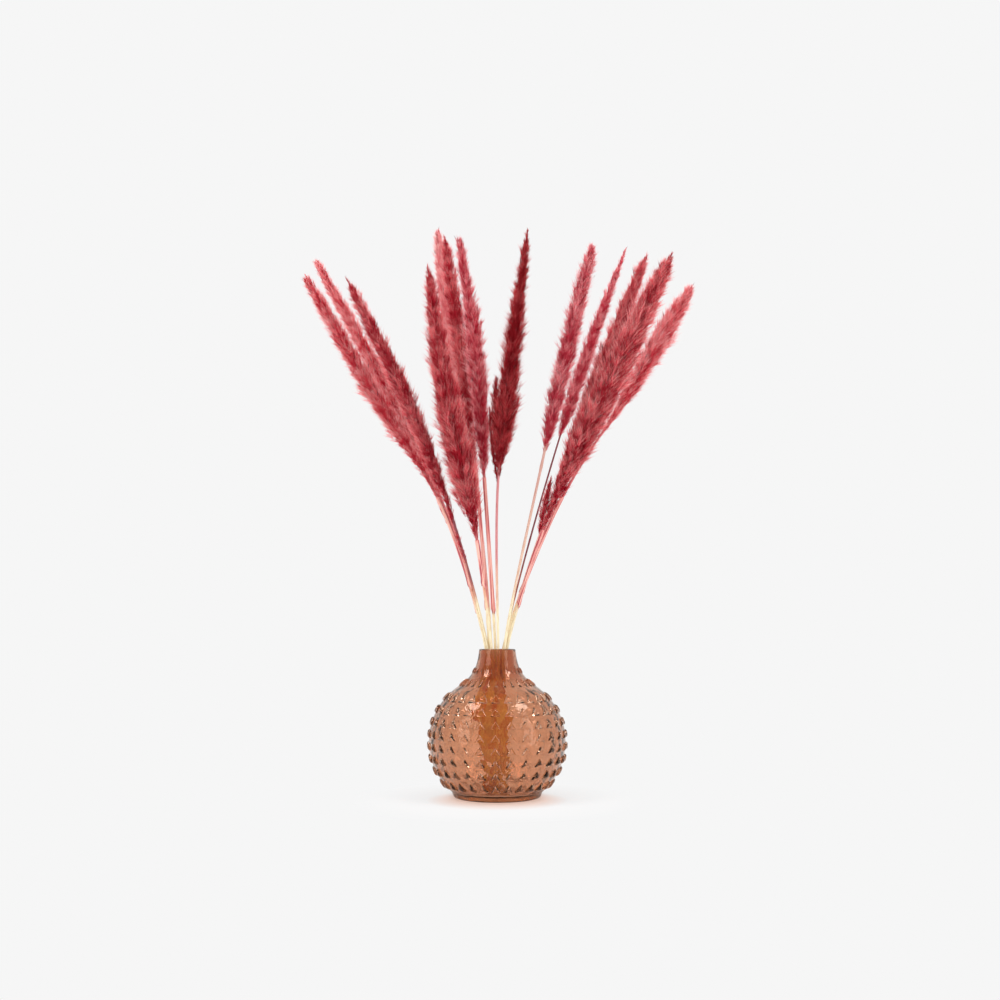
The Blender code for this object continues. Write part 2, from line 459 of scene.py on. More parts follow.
def new_shell(name: str, rings: Sequence[Sequence[Sequence[float]]]) -> bpy.types.Object:
    """Skin rings of places into a closed shell with its faces outwards.

    Args:
        name: The shell's name.
        rings: The places of each ring. An end is a ring of one place, or gets a face of its own.

    Returns:
        The shell.
    """
    builder = bmesh.new()
    grid = [[builder.verts.new(place) for place in ring] for ring in rings]
    for ring, following in zip(grid, grid[1:]):
        for step in range(max(len(ring), len(following))):
            low = [ring[turn % len(ring)] for turn in (step + 1, step)]
            high = [following[turn % len(following)] for turn in (step, step + 1)]
            builder.faces.new(list(dict.fromkeys(low + high)))
    for end in (grid[0], grid[-1][::-1]):
        if len(end) > 1:
            builder.faces.new(end)
    bmesh.ops.recalc_face_normals(builder, faces=builder.faces)
    mesh = bpy.data.meshes.new(name)
    builder.to_mesh(mesh)
    builder.free()
    return new_piece(name, mesh)


def clear_away(*used: bpy.types.Object) -> None:
    """Remove objects that only served to make others."""
    for item in used:
        bpy.data.objects.remove(item, do_unlink=True)


def count_triangles(piece: bpy.types.Object) -> int:
    """Return how many triangles a piece has."""
    return sum(len(polygon.vertices) - 2 for polygon in piece.data.polygons)


@dataclass
class Centreline:
    """The middle line and the thickness of a stem part, from its foot up.

    Args:
        points: Places on the line.
        radii: Thickness at each place.
    """

    points: np.ndarray
    radii: np.ndarray

    @classmethod
    def of_node(cls, node: str, sides: int) -> "Centreline":
        """Read the line off a plain solid that is built from rings.

        Args:
            node: The solid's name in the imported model.
            sides: How many corners each ring has.

        Returns:
            The line through the rings' middles.
        """
        builder = bmesh.new()
        builder.from_mesh(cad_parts[node].data)
        bmesh.ops.remove_doubles(builder, verts=builder.verts, dist=0.02 * MM)
        corners = np.array([vertex.co for vertex in builder.verts], float)
        builder.free()
        spread = corners - corners.mean(0)
        axis = np.linalg.svd(spread, full_matrices=False)[2][0]
        order = np.argsort(spread @ axis * math.copysign(1.0, axis[2]), kind="stable")
        count = round(len(corners) / sides)
        middles = np.array([part.mean(0) for part in np.array_split(corners[order], count)])
        for _ in range(6):
            apart = np.linalg.norm(corners[:, None] - middles[None], axis=2)
            ring = apart.argmin(1)
            middles = np.array([corners[ring == index].mean(0) for index in range(count)])
        radii = np.array([apart[ring == index, index].mean() for index in range(count)])
        return cls(middles, radii)

    def length(self) -> float:
        """Return the line's length."""
        return float(np.linalg.norm(np.diff(self.points, axis=0), axis=1).sum())

    def sample(self, shares: np.ndarray) -> "Centreline":
        """Read the line at shares of its length, on a smooth curve.

        Args:
            shares: Shares of the length, from 0 to 1, or a little past them.

        Returns:
            The line at those places.
        """
        steps = np.linalg.norm(np.diff(self.points, axis=0), axis=1)
        knots = np.concatenate([[0.0], np.cumsum(steps)]) / steps.sum()
        slopes = np.gradient(self.points, knots, axis=0)
        index = np.clip(np.searchsorted(knots, shares, side="right") - 1, 0, len(knots) - 2)
        gap = (knots[index + 1] - knots[index])[:, None]
        t = ((np.asarray(shares) - knots[index])[:, None]) / gap
        smooth = (
            (2 * t**3 - 3 * t**2 + 1) * self.points[index]
            + (t**3 - 2 * t**2 + t) * gap * slopes[index]
            + (3 * t**2 - 2 * t**3) * self.points[index + 1]
            + (t**3 - t**2) * gap * slopes[index + 1]
        )
        return Centreline(smooth, np.interp(shares, knots, self.radii))

    def headings(self) -> np.ndarray:
        """Return the line's direction at each place."""
        slopes = np.gradient(self.points, axis=0)
        return slopes / np.linalg.norm(slopes, axis=1)[:, None]

    def sides(self) -> tuple[np.ndarray, np.ndarray]:
        """Find two directions square to the line at each place.

        Returns:
            The level one and the other one.
        """
        headings = self.headings()
        level = np.cross(headings, np.array([0.0, 1.0, 0.0]))
        level /= np.linalg.norm(level, axis=1)[:, None]
        return level, np.cross(level, headings)


# ---------------------------------------------------------------- glass


@dataclass(frozen=True)
class GlassFinish:
    """Pressed glass in smoky rose-amber.

    Args:
        tint: Colour that the glass lets through.
        depth: How fast it darkens, per metre.
        refraction: Index of refraction.
        wall_tint: Stain on the glass's faces.
        deep_tint: The same stain where it took more.
        stain_scale: How fine the stain's patches are.
        neck_tint: Extra tint of the thicker neck.
        neck_rise: Heights where that starts and where it is full.
        foot_tint: Extra tint of the foot.
        foot_rise: Heights where that is still full and where it ends.
        gloss: Strength of what the faces reflect.
        gloss_tint: Colour of what they reflect.
        roughness: Least and greatest roughness.
        smear_scale: How fine the rough patches are.
        ripple_scale: How fine the ripples of the faces are.
        ripple: How deep those are.
    """

    tint: tuple[float, float, float] = (0.81, 0.46, 0.18)
    depth: float = 25.0
    refraction: float = 1.5
    wall_tint: Tint = Tint(232, 194, 170)
    deep_tint: Tint = Tint(227, 186, 160)
    stain_scale: float = 60.0
    # neck_tint: Extra, darker tint of the glass from the shoulder up, set by height.
    neck_tint: Tint = Tint(230, 206, 200)
    neck_rise: tuple[float, float] = (0.106, 0.121)
    foot_tint: Tint = Tint(222, 232, 238)
    foot_rise: tuple[float, float] = (0.005, 0.01)
    gloss: float = 0.4
    gloss_tint: Tint = Tint(255, 214, 190)
    roughness: tuple[float, float] = (0.015, 0.06)
    smear_scale: float = 140.0
    ripple_scale: float = 110.0
    ripple: float = 0.8 * MM

    def material(self) -> bpy.types.Material:
        """Make the glass: clear, coloured by its thickness, a little uneven.

        Returns:
            The material.
        """
        gloss = {"Specular_IOR_Level": self.gloss, "Specular_Tint": self.gloss_tint.linear()}
        paint = Paint("rose_amber_glass", Transmission_Weight=1.0, IOR=self.refraction, **gloss)
        bench, place, height = paint.bench, paint.place(), paint.height()
        patches = bench.noise(place, self.stain_scale, 3.0)
        stain = bench.ramp(patches, (0.3, self.deep_tint), (0.7, self.wall_tint))
        neck_colour = bench.ramp(bench.between(height, *self.neck_rise), (0.0, WHITE), (1.0, self.neck_tint))
        colour = bench.blend(1.0, stain, neck_colour, "MULTIPLY")
        low = bench.between(height, *self.foot_rise, 1.0, 0.0)
        paint.set("Base Color", bench.blend(low, colour, self.foot_tint.linear(), "MULTIPLY"))
        paint.set("Roughness", bench.spread(bench.noise(place, self.smear_scale), *self.roughness))
        paint.bump(bench.noise(place, self.ripple_scale, 2.5), self.ripple, 0.9)
        body = bench.shade("VolumeAbsorption", {"Color": (*self.tint, 1.0), "Density": self.depth})
        bench.tree.links.new(body, paint.output.inputs["Volume"])
        return paint.material


@dataclass
class StuddedVase:
    """The vase: a squat ball of glass with a flared neck and rows of studs.

    Args:
        finish: The glass.
        height: Height of the rim.
        belly_radius: Widest radius of the ball, without studs.
        belly_half_height: Half the ball's height.
        belly_middle: Height of the ball's middle.
        shoulder: Height where the neck leaves the ball.
        neck_pulls: How the neck's curve is pulled at its start and at its end: out and up.
        mouth_radius: Outer radius of the rim.
        foot_radius: Radius of the foot.
        foot_edge: Height of the foot's rounded edge.
        foot_outline: The foot from that edge inwards: how far outside its radius and how high.
        wall: Thickness of the ball's wall.
        lip: Thickness at the rim.
        lip_round: How high the rim's rounding is.
        floor: Thickness of the bottom.
        floor_outline: The inner floor near the wall: how far from its corner and how high.
        turns: Facets round the glass.
        columns: Studs in a row.
        rows: Rows of studs.
        first_turn: How far round the first column is turned, in degrees.
        first_row: Height of the lowest row.
        row_pitch: Height from row to row.
        stud_width: Width of the widest studs.
        stud_share: Most of its column's width and of its row's height that a stud takes.
        stud_round: How round a stud's corners are, as a share of its sides.
        stud_blunt: How much of that is cut off the corners' points.
        stud_levels: A stud's height and size from its foot to its top, as shares.
        stud_proud: How far the lowest studs stand out.
        upper_proud: How far the studs above them do, as a share of that.
        low_rows: How many of the rows are low ones, whose studs tip upwards.
        low_tip: How much those tip.
        stud_sunk: How far a stud reaches into the wall.
        slit_lift: How much higher than the row pitch the top rows of narrow slits sit.
        slits: Each slit row's width and height, as shares of a stud's, and how far it stands out.
        dimple: How far the inside follows each stud outwards.
        dimple_size: How wide and how high such a dimple is.
        wave: How far the inside wanders in and out besides.
        wave_pitch: How fast it does so, per metre.
        crisp_angle: Edges sharper than this stay crisp, in degrees.
    """

    finish: GlassFinish = field(default_factory=GlassFinish)
    height: float = 143.3 * MM
    belly_radius: float = 67.2 * MM
    belly_half_height: float = 64.5 * MM
    belly_middle: float = 54.0 * MM
    shoulder: float = 107.0 * MM
    neck_pulls: tuple[tuple[float, float], ...] = ((-12.0, 8.0), (1.1, -19.3))
    mouth_radius: float = 18.1 * MM
    foot_radius: float = 41.0 * MM
    foot_edge: float = 5.5 * MM
    foot_outline: tuple[tuple[float, float], ...] = (
        (2.3, 3.0), (1.7, 1.5), (0.8, 0.5), (-0.6, 0.0), (-8.0, 0.0), (-12.0, 0.5)
    )
    wall: float = 3.2 * MM
    lip: float = 2.7 * MM
    lip_round: float = 1.3 * MM
    floor: float = 6.0 * MM
    floor_outline: tuple[tuple[float, float], ...] = ((-5.0, 0.5), (-1.6, 1.4))
    turns: int = 196
    columns: int = 28
    rows: int = 10
    first_turn: float = 5.0
    first_row: float = 14.5 * MM
    row_pitch: float = 11.8 * MM
    stud_width: float = 9.8 * MM
    stud_share: tuple[float, float] = (0.78, 0.65)
    stud_round: float = 0.14
    stud_blunt: float = 0.6
    stud_levels: tuple[tuple[float, float], ...] = (
        (-0.5, 1.06), (0.0, 1.0), (0.26, 0.88), (0.43, 0.66), (0.5, 0.36)
    )
    stud_proud: float = 2.4 * MM
    upper_proud: float = 0.82
    low_rows: int = 3
    low_tip: float = 0.14
    stud_sunk: float = 1.3 * MM
    slit_lift: float = 1.8 * MM
    slits: tuple[tuple[float, float, float], ...] = ((0.5, 1.0, 1.5 * MM), (0.42, 0.8, 0.9 * MM))
    dimple: float = 1.0 * MM
    dimple_size: tuple[float, float] = (3.0 * MM, 3.2 * MM)
    wave: float = 0.9 * MM
    wave_pitch: float = 160.0
    crisp_angle: float = 38.0

    def belly(self, z: float, inset: float = 0.0) -> float:
        """Return the ball's radius at a height, less an inset."""
        share = (z - self.belly_middle) / (self.belly_half_height - inset)
        return (self.belly_radius - inset) * math.sqrt(max(0.0, 1.0 - share * share))

    def neck(self, inset_low: float, inset_high: float, steps: int) -> list[tuple[float, float]]:
        """Follow the neck from the shoulder to the rim.

        Args:
            inset_low: How far inside the outer wall it runs at the shoulder.
            inset_high: How far inside it runs at the rim.
            steps: How many steps it takes.

        Returns:
            (radius, height) of each place.
        """
        start = np.array([self.belly(self.shoulder), self.shoulder])
        end = np.array([self.mouth_radius, self.height])
        low, high = (knot + np.array(pull) * MM for knot, pull in zip((start, end), self.neck_pulls))
        t = np.linspace(0.0, 1.0, steps + 1)[:, None]
        line = (1 - t) ** 3 * start + 3 * (1 - t) ** 2 * t * low + 3 * (1 - t) * t**2 * high + t**3 * end
        slope = np.gradient(line, axis=0)
        inward = np.stack([-slope[:, 1], slope[:, 0]], axis=1)
        inward /= np.linalg.norm(inward, axis=1)[:, None]
        inset = inset_low + (inset_high - inset_low) * t
        return [tuple(point) for point in line + inward * inset]

    def wall_radius(self, z: float) -> float:
        """Find how wide the smooth glass is.

        Args:
            z: Height.

        Returns:
            Its outer radius there.
        """
        if z <= self.shoulder:
            return self.belly(z)
        radii, heights = zip(*self.neck(0.0, 0.0, 60))
        return float(np.interp(z, heights, radii))

    def section(self) -> list[tuple[float, float]]:
        """Draw half the section: inside from floor to rim, then outside down to the foot.

        Returns:
            (radius, height) of each place.
        """
        wall_foot = self.floor + 3.0 * MM
        corner = self.belly(wall_foot, self.wall)
        inside = [(0.0, self.floor), (0.55 * corner, self.floor + 0.1 * MM)]
        inside += [(corner + out * MM, self.floor + up * MM) for out, up in self.floor_outline]
        heights = np.linspace(wall_foot, self.shoulder - 4.0 * MM, 60)
        inside += [(self.belly(z, self.wall), z) for z in heights]
        inside += self.neck(self.wall, self.lip, 20)[1:-1]
        half, rise = self.lip / 2, self.lip_round
        rim, top = self.mouth_radius - half, self.height - rise
        lip = [(rim + half * math.cos(a), top + rise * math.sin(a)) for a in np.linspace(math.pi, 0.0, 9)]
        outside = self.neck(0.0, 0.0, 30)[::-1][2:]
        outside += [(self.belly(z), z) for z in np.linspace(self.shoulder, self.foot_edge, 44)[1:]]
        foot = [(self.foot_radius + out * MM, up * MM) for out, up in self.foot_outline]
        return inside + lip + outside + foot + [(0.0, 0.6 * MM)]

    def dimpled(self, radius: float, z: float, angle: float) -> float:
        """Push the inside of the wall out behind each stud, as glass blown into a mould is.

        Args:
            radius: Radius of the plain inside.
            z: Height.
            angle: Angle round the vase.

        Returns:
            The radius there.
        """
        if radius > self.belly(z) - self.wall / 2 or not self.floor + 4.0 * MM < z < self.shoulder:
            return radius
        place = Vector((radius * math.cos(angle), radius * math.sin(angle), z))
        radius += self.wave * noise.noise(place * self.wave_pitch)
        row = round((z - self.first_row) / self.row_pitch)
        if row >= self.rows - len(self.slits):
            return radius
        column = (angle - math.radians(self.first_turn)) / FULL_TURN * self.columns - 0.5
        aside = (column - round(column)) * FULL_TURN * radius / self.columns
        above = z - self.first_row - row * self.row_pitch
        wide, high = self.dimple_size
        return radius + self.dimple * math.exp(-((aside / wide) ** 2) - (above / high) ** 2)

    def body(self) -> bpy.types.Object:
        """Turn the section round the vase's axis into a closed shell.

        Returns:
            The shell.
        """
        rings = []
        for radius, z in self.section():
            angles = [FULL_TURN * step / self.turns for step in range(self.turns if radius else 1)]
            radii = [self.dimpled(radius, z, angle) for angle in angles]
            rings.append([(r * math.cos(a), r * math.sin(a), z) for r, a in zip(radii, angles)])
        return new_shell("vase_guide", rings)

    def stud(self) -> bpy.types.Object:
        """Make one stud, a unit wide, high and deep: a low triangular dome, point up, with steep edges.

        Returns:
            The stud.
        """
        corners = [Vector((math.sin(FULL_TURN * k / 3), math.cos(FULL_TURN * k / 3), 0.0)) for k in range(3)]
        outline: list[Vector] = []
        for index, corner in enumerate(corners):
            middle = corner * (1.0 - self.stud_round * self.stud_blunt)
            before, after = (corner.lerp(corners[(index + way) % 3], self.stud_round) for way in (-1, 1))
            outline += [before, middle, after]
        wide, low = math.sqrt(3.0), 1 / 6
        rings = [
            [(point.x / wide * size, (point.y / 1.5 - low) * size, level) for point in outline]
            for level, size in self.stud_levels
        ]
        return new_shell("stud", rings)

    def stud_sites(self) -> bpy.types.Object:
        """Mark where each stud goes, with its outward and upward directions and its size.

        Returns:
            The marks.
        """
        places, outwards, ups, sizes = [], [], [], []
        plain_rows = self.rows - len(self.slits)
        for row in range(self.rows):
            z = self.first_row + row * self.row_pitch + (self.slit_lift if row >= plain_rows else 0.0)
            radius, step, half = self.wall_radius(z), self.row_pitch / 4, self.row_pitch / 2
            up = Vector((self.wall_radius(z + step) - self.wall_radius(z - step), 0.0, 2 * step)).normalized()
            outward = Vector((up.z, 0.0, -up.x))
            width = min(self.stud_width, self.stud_share[0] * FULL_TURN * radius / self.columns)
            tall = math.hypot(self.wall_radius(z - half) - self.wall_radius(z + half), self.row_pitch)
            tall *= self.stud_share[1]
            proud = self.stud_proud * width / self.stud_width
            if row < self.low_rows:
                outward = (outward + Vector((self.low_tip, 0.0, 0.0))).normalized()
                up = Vector((-outward.z, 0.0, outward.x))
            elif row < plain_rows:
                proud *= self.upper_proud
            else:
                narrow, low, proud = self.slits[row - plain_rows]
                width, tall = width * narrow, tall * low
            middle = Vector((radius, 0.0, z)) + outward * ((proud - self.stud_sunk) / 2)
            for column in range(self.columns):
                angle = (column + 0.5) * FULL_TURN / self.columns + math.radians(self.first_turn)
                turn = Matrix.Rotation(angle, 3, "Z")
                places.append(turn @ middle)
                outwards.append(turn @ outward)
                ups.append(turn @ up)
                sizes.append((width, tall, proud + self.stud_sunk))
        return new_shape("stud_sites", places, outward=outwards, upward=ups, stud_size=sizes)

    def recipe(self) -> Recipe:
        """Write the recipe that presses the studs into the body.

        Returns:
            The recipe.
        """
        recipe = Recipe("pressed_studs")
        bench = recipe.bench
        sites, stud = (recipe.size(name, "NodeSocketObject") for name in ("Sites", "Stud"))
        crisp = recipe.size("Crisp angle")
        outward, up, size = (bench.read(name, "FLOAT_VECTOR") for name in ("outward", "upward", "stud_size"))
        points = bench.shape("MeshToPoints", {0: bench.shown(sites, False)})
        studs = bench.plant(outward, up, "Y", Points=points, Instance=bench.shown(stud), Scale=size)
        parts = (studs, recipe.guide)
        union = bench.gather("MeshBoolean", "Mesh 2", parts, operation="UNION", solver="MANIFOLD")
        sharp = bench.maths("GREATER_THAN", bench.shape("InputMeshEdgeAngle"), crisp)
        feeds = {0: bench.shape("SetShadeSmooth", {0: union}), "Selection": sharp, "Shade Smooth": False}
        recipe.end(bench.shape("SetShadeSmooth", feeds, domain="EDGE"))
        return recipe

    def build(self) -> bpy.types.Object:
        """Make the glass and put it in place of the plain vase.

        Returns:
            The finished glass.
        """
        studs = {"Sites": self.stud_sites(), "Stud": self.stud()}
        crisp, glass = math.radians(self.crisp_angle), self.finish.material()
        piece = self.recipe().make("glass_vase", self.body(), Finish=glass, Crisp_angle=crisp, **studs)
        clear_away(*studs.values())
        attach(piece, "root")
        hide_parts("vase")
        return piece


# ---------------------------------------------------------------- stalks


class StalkShade(Enum):
    """How a stalk is coloured above its pale foot."""

    ROSE = "rose"
    DARK = "dark"
    MAUVE = "mauve"
    STRAW = "straw"


@dataclass(frozen=True)
class StalkFinish:
    """A dried stalk: painted gold in the vase, as painted light through the amber glass, cream above it, dyed
    higher up, with fine lengthwise streaks.

    Args:
        shade: Which dye the upper part took.
        low: Colour where the dye starts.
        high: Colour near the plume.
        dyed_from: Height where the dye starts.
        dyed_full: Height where it is at its fullest.
        wander: How far up and down the dye's edge wanders.
        cream: Colour of the undyed foot.
        streak: How the streaks darken it.
        painted_vase_gold: Colour painted on its end in the vase, brighter and more yellow than cream, as
            painted light through the amber glass.
        amber: Colour of the darker painted streaks there.
        grain: How fine those are, across and up.
        rim: Heights over which gold turns to cream.
    """

    shade: StalkShade
    low: Tint
    high: Tint
    dyed_from: float
    dyed_full: float
    wander: float = 0.012
    cream: Tint = Tint(255, 244, 208)
    streak: Tint = Tint(214, 188, 172)
    painted_vase_gold: Tint = Tint(255, 226, 120)
    amber: Tint = Tint(226, 142, 50)
    grain: tuple[float, float, float] = (260.0, 260.0, 14.0)
    rim: tuple[float, float] = (0.131, 0.143)

    def material(self) -> bpy.types.Material:
        """Make the stalk's material.

        Returns:
            The material.
        """
        paint = Paint(f"stalk_{self.shade.value}", Specular_IOR_Level=0.35)
        bench, place, height, streaks = paint.bench, paint.place(), paint.height(), paint.streaks(2.5, 2.2)
        wander = bench.spread(bench.noise(place, 55.0), -self.wander, self.wander)
        rise = bench.between(bench.maths("ADD", height, wander), self.dyed_from, self.dyed_full)
        dyed = bench.ramp(rise, (0.0, self.cream), (0.35, self.low), (1.0, self.high))
        # Below the rim the stalk is painted a lit gold with amber streaks: painted light for what reaches it
        # through the glass.
        grain = bench.noise(bench.vector("MULTIPLY", place, self.grain), 1.0)
        painted_vase_light = bench.ramp(grain, (0.35, self.amber), (0.62, self.painted_vase_gold))
        colour = bench.blend(bench.between(height, *self.rim, 1.0, 0.0), dyed, painted_vase_light)
        dark = bench.ramp(streaks, (0.3, self.streak), (0.6, WHITE))
        paint.set("Base Color", bench.blend(0.8, colour, dark, "MULTIPLY"))
        paint.set("Roughness", bench.spread(streaks, 0.42, 0.62))
        paint.bump(streaks, 0.15 * MM)
        return paint.material


@dataclass
class StalkMaker:
    """Makes the stalks, from the floor of the vase up into the plumes.

    Args:
        sides: Facets round a stalk.
        rings: Rings along it.
        inside: Places on its plume that it runs on through, as shares, and its thickness there.
        joint_spacing: Distance between the stalk's joints.
        joint_shift: How far a stalk's joints are shifted for its thickness.
        joint_swell: How much thicker it is at a joint.
        joint_length: Half the length of such a swelling.
        streak_length: Length that one unit of its lengthwise streaks takes.
    """

    sides: int = 10
    rings: int = 72
    inside: tuple[tuple[float, float], ...] = ((0.03, 0.95), (0.12, 0.85), (0.25, 0.7), (0.5, 0.4))
    joint_spacing: float = 78.0 * MM
    joint_shift: float = 300.0
    joint_swell: float = 0.22
    joint_length: float = 2.0 * MM
    streak_length: float = 50.0 * MM

    def recipe(self) -> Recipe:
        """Write the recipe for a round stalk along a guide line.

        Returns:
            The recipe.
        """
        recipe = Recipe("round_stalk")
        bench = recipe.bench
        line = bench.shape("MeshToCurve", {0: recipe.guide})
        tube = bench.tube(line, bench.read("girth"), self.sides, "around")
        recipe.end(bench.shape("SetShadeSmooth", {0: tube}))
        return recipe

    def guide(self, stalk: Centreline, plume: Centreline) -> bpy.types.Object:
        """Draw the line that a stalk follows, with its thickness.

        Args:
            stalk: The stalk's own line.
            plume: Its plume's line.

        Returns:
            The guide.
        """
        shares, thinner = np.array(self.inside).T
        points = np.concatenate([stalk.points, plume.sample(shares).points])
        foot, top = stalk.radii[0], stalk.radii[-1]
        line = Centreline(points, np.concatenate([stalk.radii, top * thinner]))
        line = line.sample(np.linspace(0.0, 1.0, self.rings))
        reach = np.linspace(0.0, 1.0, self.rings) * line.length()
        off = np.abs((reach / self.joint_spacing + foot * self.joint_shift) % 1.0 - 0.5) * self.joint_spacing
        girth = line.radii * (1.0 + self.joint_swell * np.exp(-((off / self.joint_length) ** 2)))
        return new_guide("stalk_guide", (line.points, girth, reach / self.streak_length))


@dataclass(frozen=True)
class SheathFinish:
    """A dry leaf wrapped round its stalk, pink with pale and dark stripes.

    Args:
        pale: Colour of the pale stripes.
        rosy: Colour between the stripes.
        dark: Colour of the dark stripes.
    """

    pale: Tint = Tint(255, 208, 190)
    rosy: Tint = Tint(220, 116, 118)
    dark: Tint = Tint(148, 44, 62)

    def material(self) -> bpy.types.Material:
        """Make the sheath's material.

        Returns:
            The material.
        """
        paint = Paint("leaf_sheath", Specular_IOR_Level=0.3)
        bench, stripes = paint.bench, paint.streaks(1.6, 1.2)
        colour = bench.ramp(stripes, (0.38, self.dark), (0.47, self.rosy), (0.57, self.pale))
        fade = bench.between(paint.mark("along"), 0.0, 1.0, 0.0, 0.3)
        paint.set("Base Color", bench.blend(fade, colour, self.rosy.linear()))
        paint.set("Roughness", bench.spread(stripes, 0.45, 0.7))
        paint.bump(stripes, 0.2 * MM)
        return paint.material


@dataclass
class SheathMaker:
    """Makes the leaf sheaths: an open wrap with a slanting, torn lower end.

    Args:
        around: Facets round the wrap.
        rings: Rings along it.
        wrap: How far round the stalk the leaf goes, in turns.
        wall: Thickness of the leaf.
        gap: How far it stands off the stalk.
        slant: How much lower one side of the lower end reaches.
        ragged: How far the torn end's points stray, as a share of the slant.
        swell: How much the lower end flares.
        flare: How far up it does, as a share of the sheath.
        lap: How much farther out the overlapping edge lies.
        seed: Seed of the first sheath's shape.
    """

    around: int = 14
    rings: int = 30
    wrap: float = 0.93
    wall: float = 0.3 * MM
    gap: float = 0.45 * MM
    slant: float = 9.0 * MM
    ragged: float = 0.25
    swell: float = 0.25
    flare: float = 0.06
    lap: float = 0.12
    seed: int = 500

    def build(self, number: int, stalk: Centreline, material: bpy.types.Material) -> bpy.types.Object:
        """Make one sheath and put it in place of its plain solid.

        Args:
            number: The stem's number.
            stalk: The line of the stalk that it wraps.
            material: The sheath's material.

        Returns:
            The finished sheath.
        """
        node = f"leaf_sheath_{number:02d}"
        corners = np.array([vertex.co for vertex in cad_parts[node].data.vertices], float)
        fine = np.linspace(0.0, 1.0, 600)
        near = np.linalg.norm(corners[:, None] - stalk.sample(fine).points[None], axis=2).argmin(1)
        start, end = fine[near.min()], fine[near.max()]
        dice = np.random.default_rng(self.seed + number)
        opening = dice.uniform(0.0, FULL_TURN)
        ragged = dice.uniform(-self.ragged, self.ragged, self.around + 1)
        steps = np.linspace(0.0, 1.0, self.rings)
        swell = 1.0 + self.swell * np.exp(-((steps / self.flare) ** 2))
        turns = [column / self.around for column in range(self.around + 1)]
        places: list[np.ndarray] = []
        for turn, torn in zip(turns, ragged):
            angle = opening + turn * self.wrap * FULL_TURN
            lower = start + self.slant / stalk.length() * (0.5 + 0.5 * math.cos(FULL_TURN * turn) + torn)
            path = stalk.sample(np.clip(lower + (end - lower) * steps, 0.0, 1.0))
            level, over = path.sides()
            out = (stalk.radii[-1] + self.gap) * swell * (1.0 + self.lap * turn)
            places += list(path.points + (level * math.cos(angle) + over * math.sin(angle)) * out[:, None])
        high = self.rings
        firsts = [first for first in range(self.around * high) if (first + 1) % high]
        faces = [(first, first + high, first + high + 1, first + 1) for first in firsts]
        marks = {"along": np.tile(steps, len(turns)), "around": np.repeat(turns, high)}
        piece = new_shape(f"sheath_{number:02d}", places, faces=faces, **marks)
        piece.data.shade_smooth()
        piece.data.materials.append(material)
        leaf = piece.modifiers.new("leaf", "SOLIDIFY")
        leaf.thickness, leaf.offset = self.wall, 1.0
        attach(piece, "root")
        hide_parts(node)
        return piece


# ---------------------------------------------------------------- plumes


class PlumeDye(Enum):
    """The shades that the plumes took from the dye."""

    CRIMSON = "crimson"
    DEEP = "deep"
    CORAL = "coral"
    MAUVE = "mauve"
    PALE = "pale"


@dataclass(frozen=True)
class PlumeFinish:
    """Dyed fluff: deep at the root of each thread and paler to its tip.

    Args:
        dye: The dye's name.
        root: Colour inside the plume.
        middle: Colour half way out.
        light: Colour of the paler threads.
        tip: Colour of their very tips.
        case: Colour of the dry seed cases.
    """

    dye: PlumeDye
    root: Tint
    middle: Tint
    light: Tint
    tip: Tint
    case: Tint = Tint(96, 50, 54)

    def material(self) -> bpy.types.Material:
        """Make the fluff's material from the colour map: how far out on a thread, and its shade row.

        Returns:
            The material.
        """
        paint = Paint(f"plume_{self.dye.value}", Specular_IOR_Level=0.12)
        bench = paint.bench
        chart = bench.shade("UVMap", uv_map=COLOUR_MAP)
        share, across = (bench.shade("SeparateXYZ", {0: chart}, axis) for axis in "XY")
        row = bench.maths("FLOOR", bench.maths("MULTIPLY", across, SHADE_ROWS))
        shaded = bench.ramp(share, (0.0, self.root), (0.35, self.root), (0.9, self.middle))
        bright = bench.ramp(share, (0.0, self.middle), (0.3, self.light), (0.8, self.tip))
        # The paler rows carry the painted rim light at a plume's edge, the deeper ones its painted inner
        # shade.
        pale = bench.maths("POWER", bench.between(row, FIRST_TUFT_ROW, SHADE_ROWS - 1), 1.6)
        case = bench.ramp(share, (0.0, self.middle), (0.3, self.case), (1.0, self.case))
        is_case = bench.maths("LESS_THAN", row, SEED_CASE_ROW + 0.5)
        paint.set("Base Color", bench.blend(is_case, bench.blend(pale, shaded, bright), case))
        paint.set("Roughness", bench.between(share, 0.0, 1.0, 0.85, 0.6))
        return paint.material


class TuftKind(Enum):
    """The kinds of small tuft that a plume is made of."""

    TIGHT = "tight"
    LOOSE = "loose"
    WISP = "wisp"
    SEED_CASE = "seed_case"


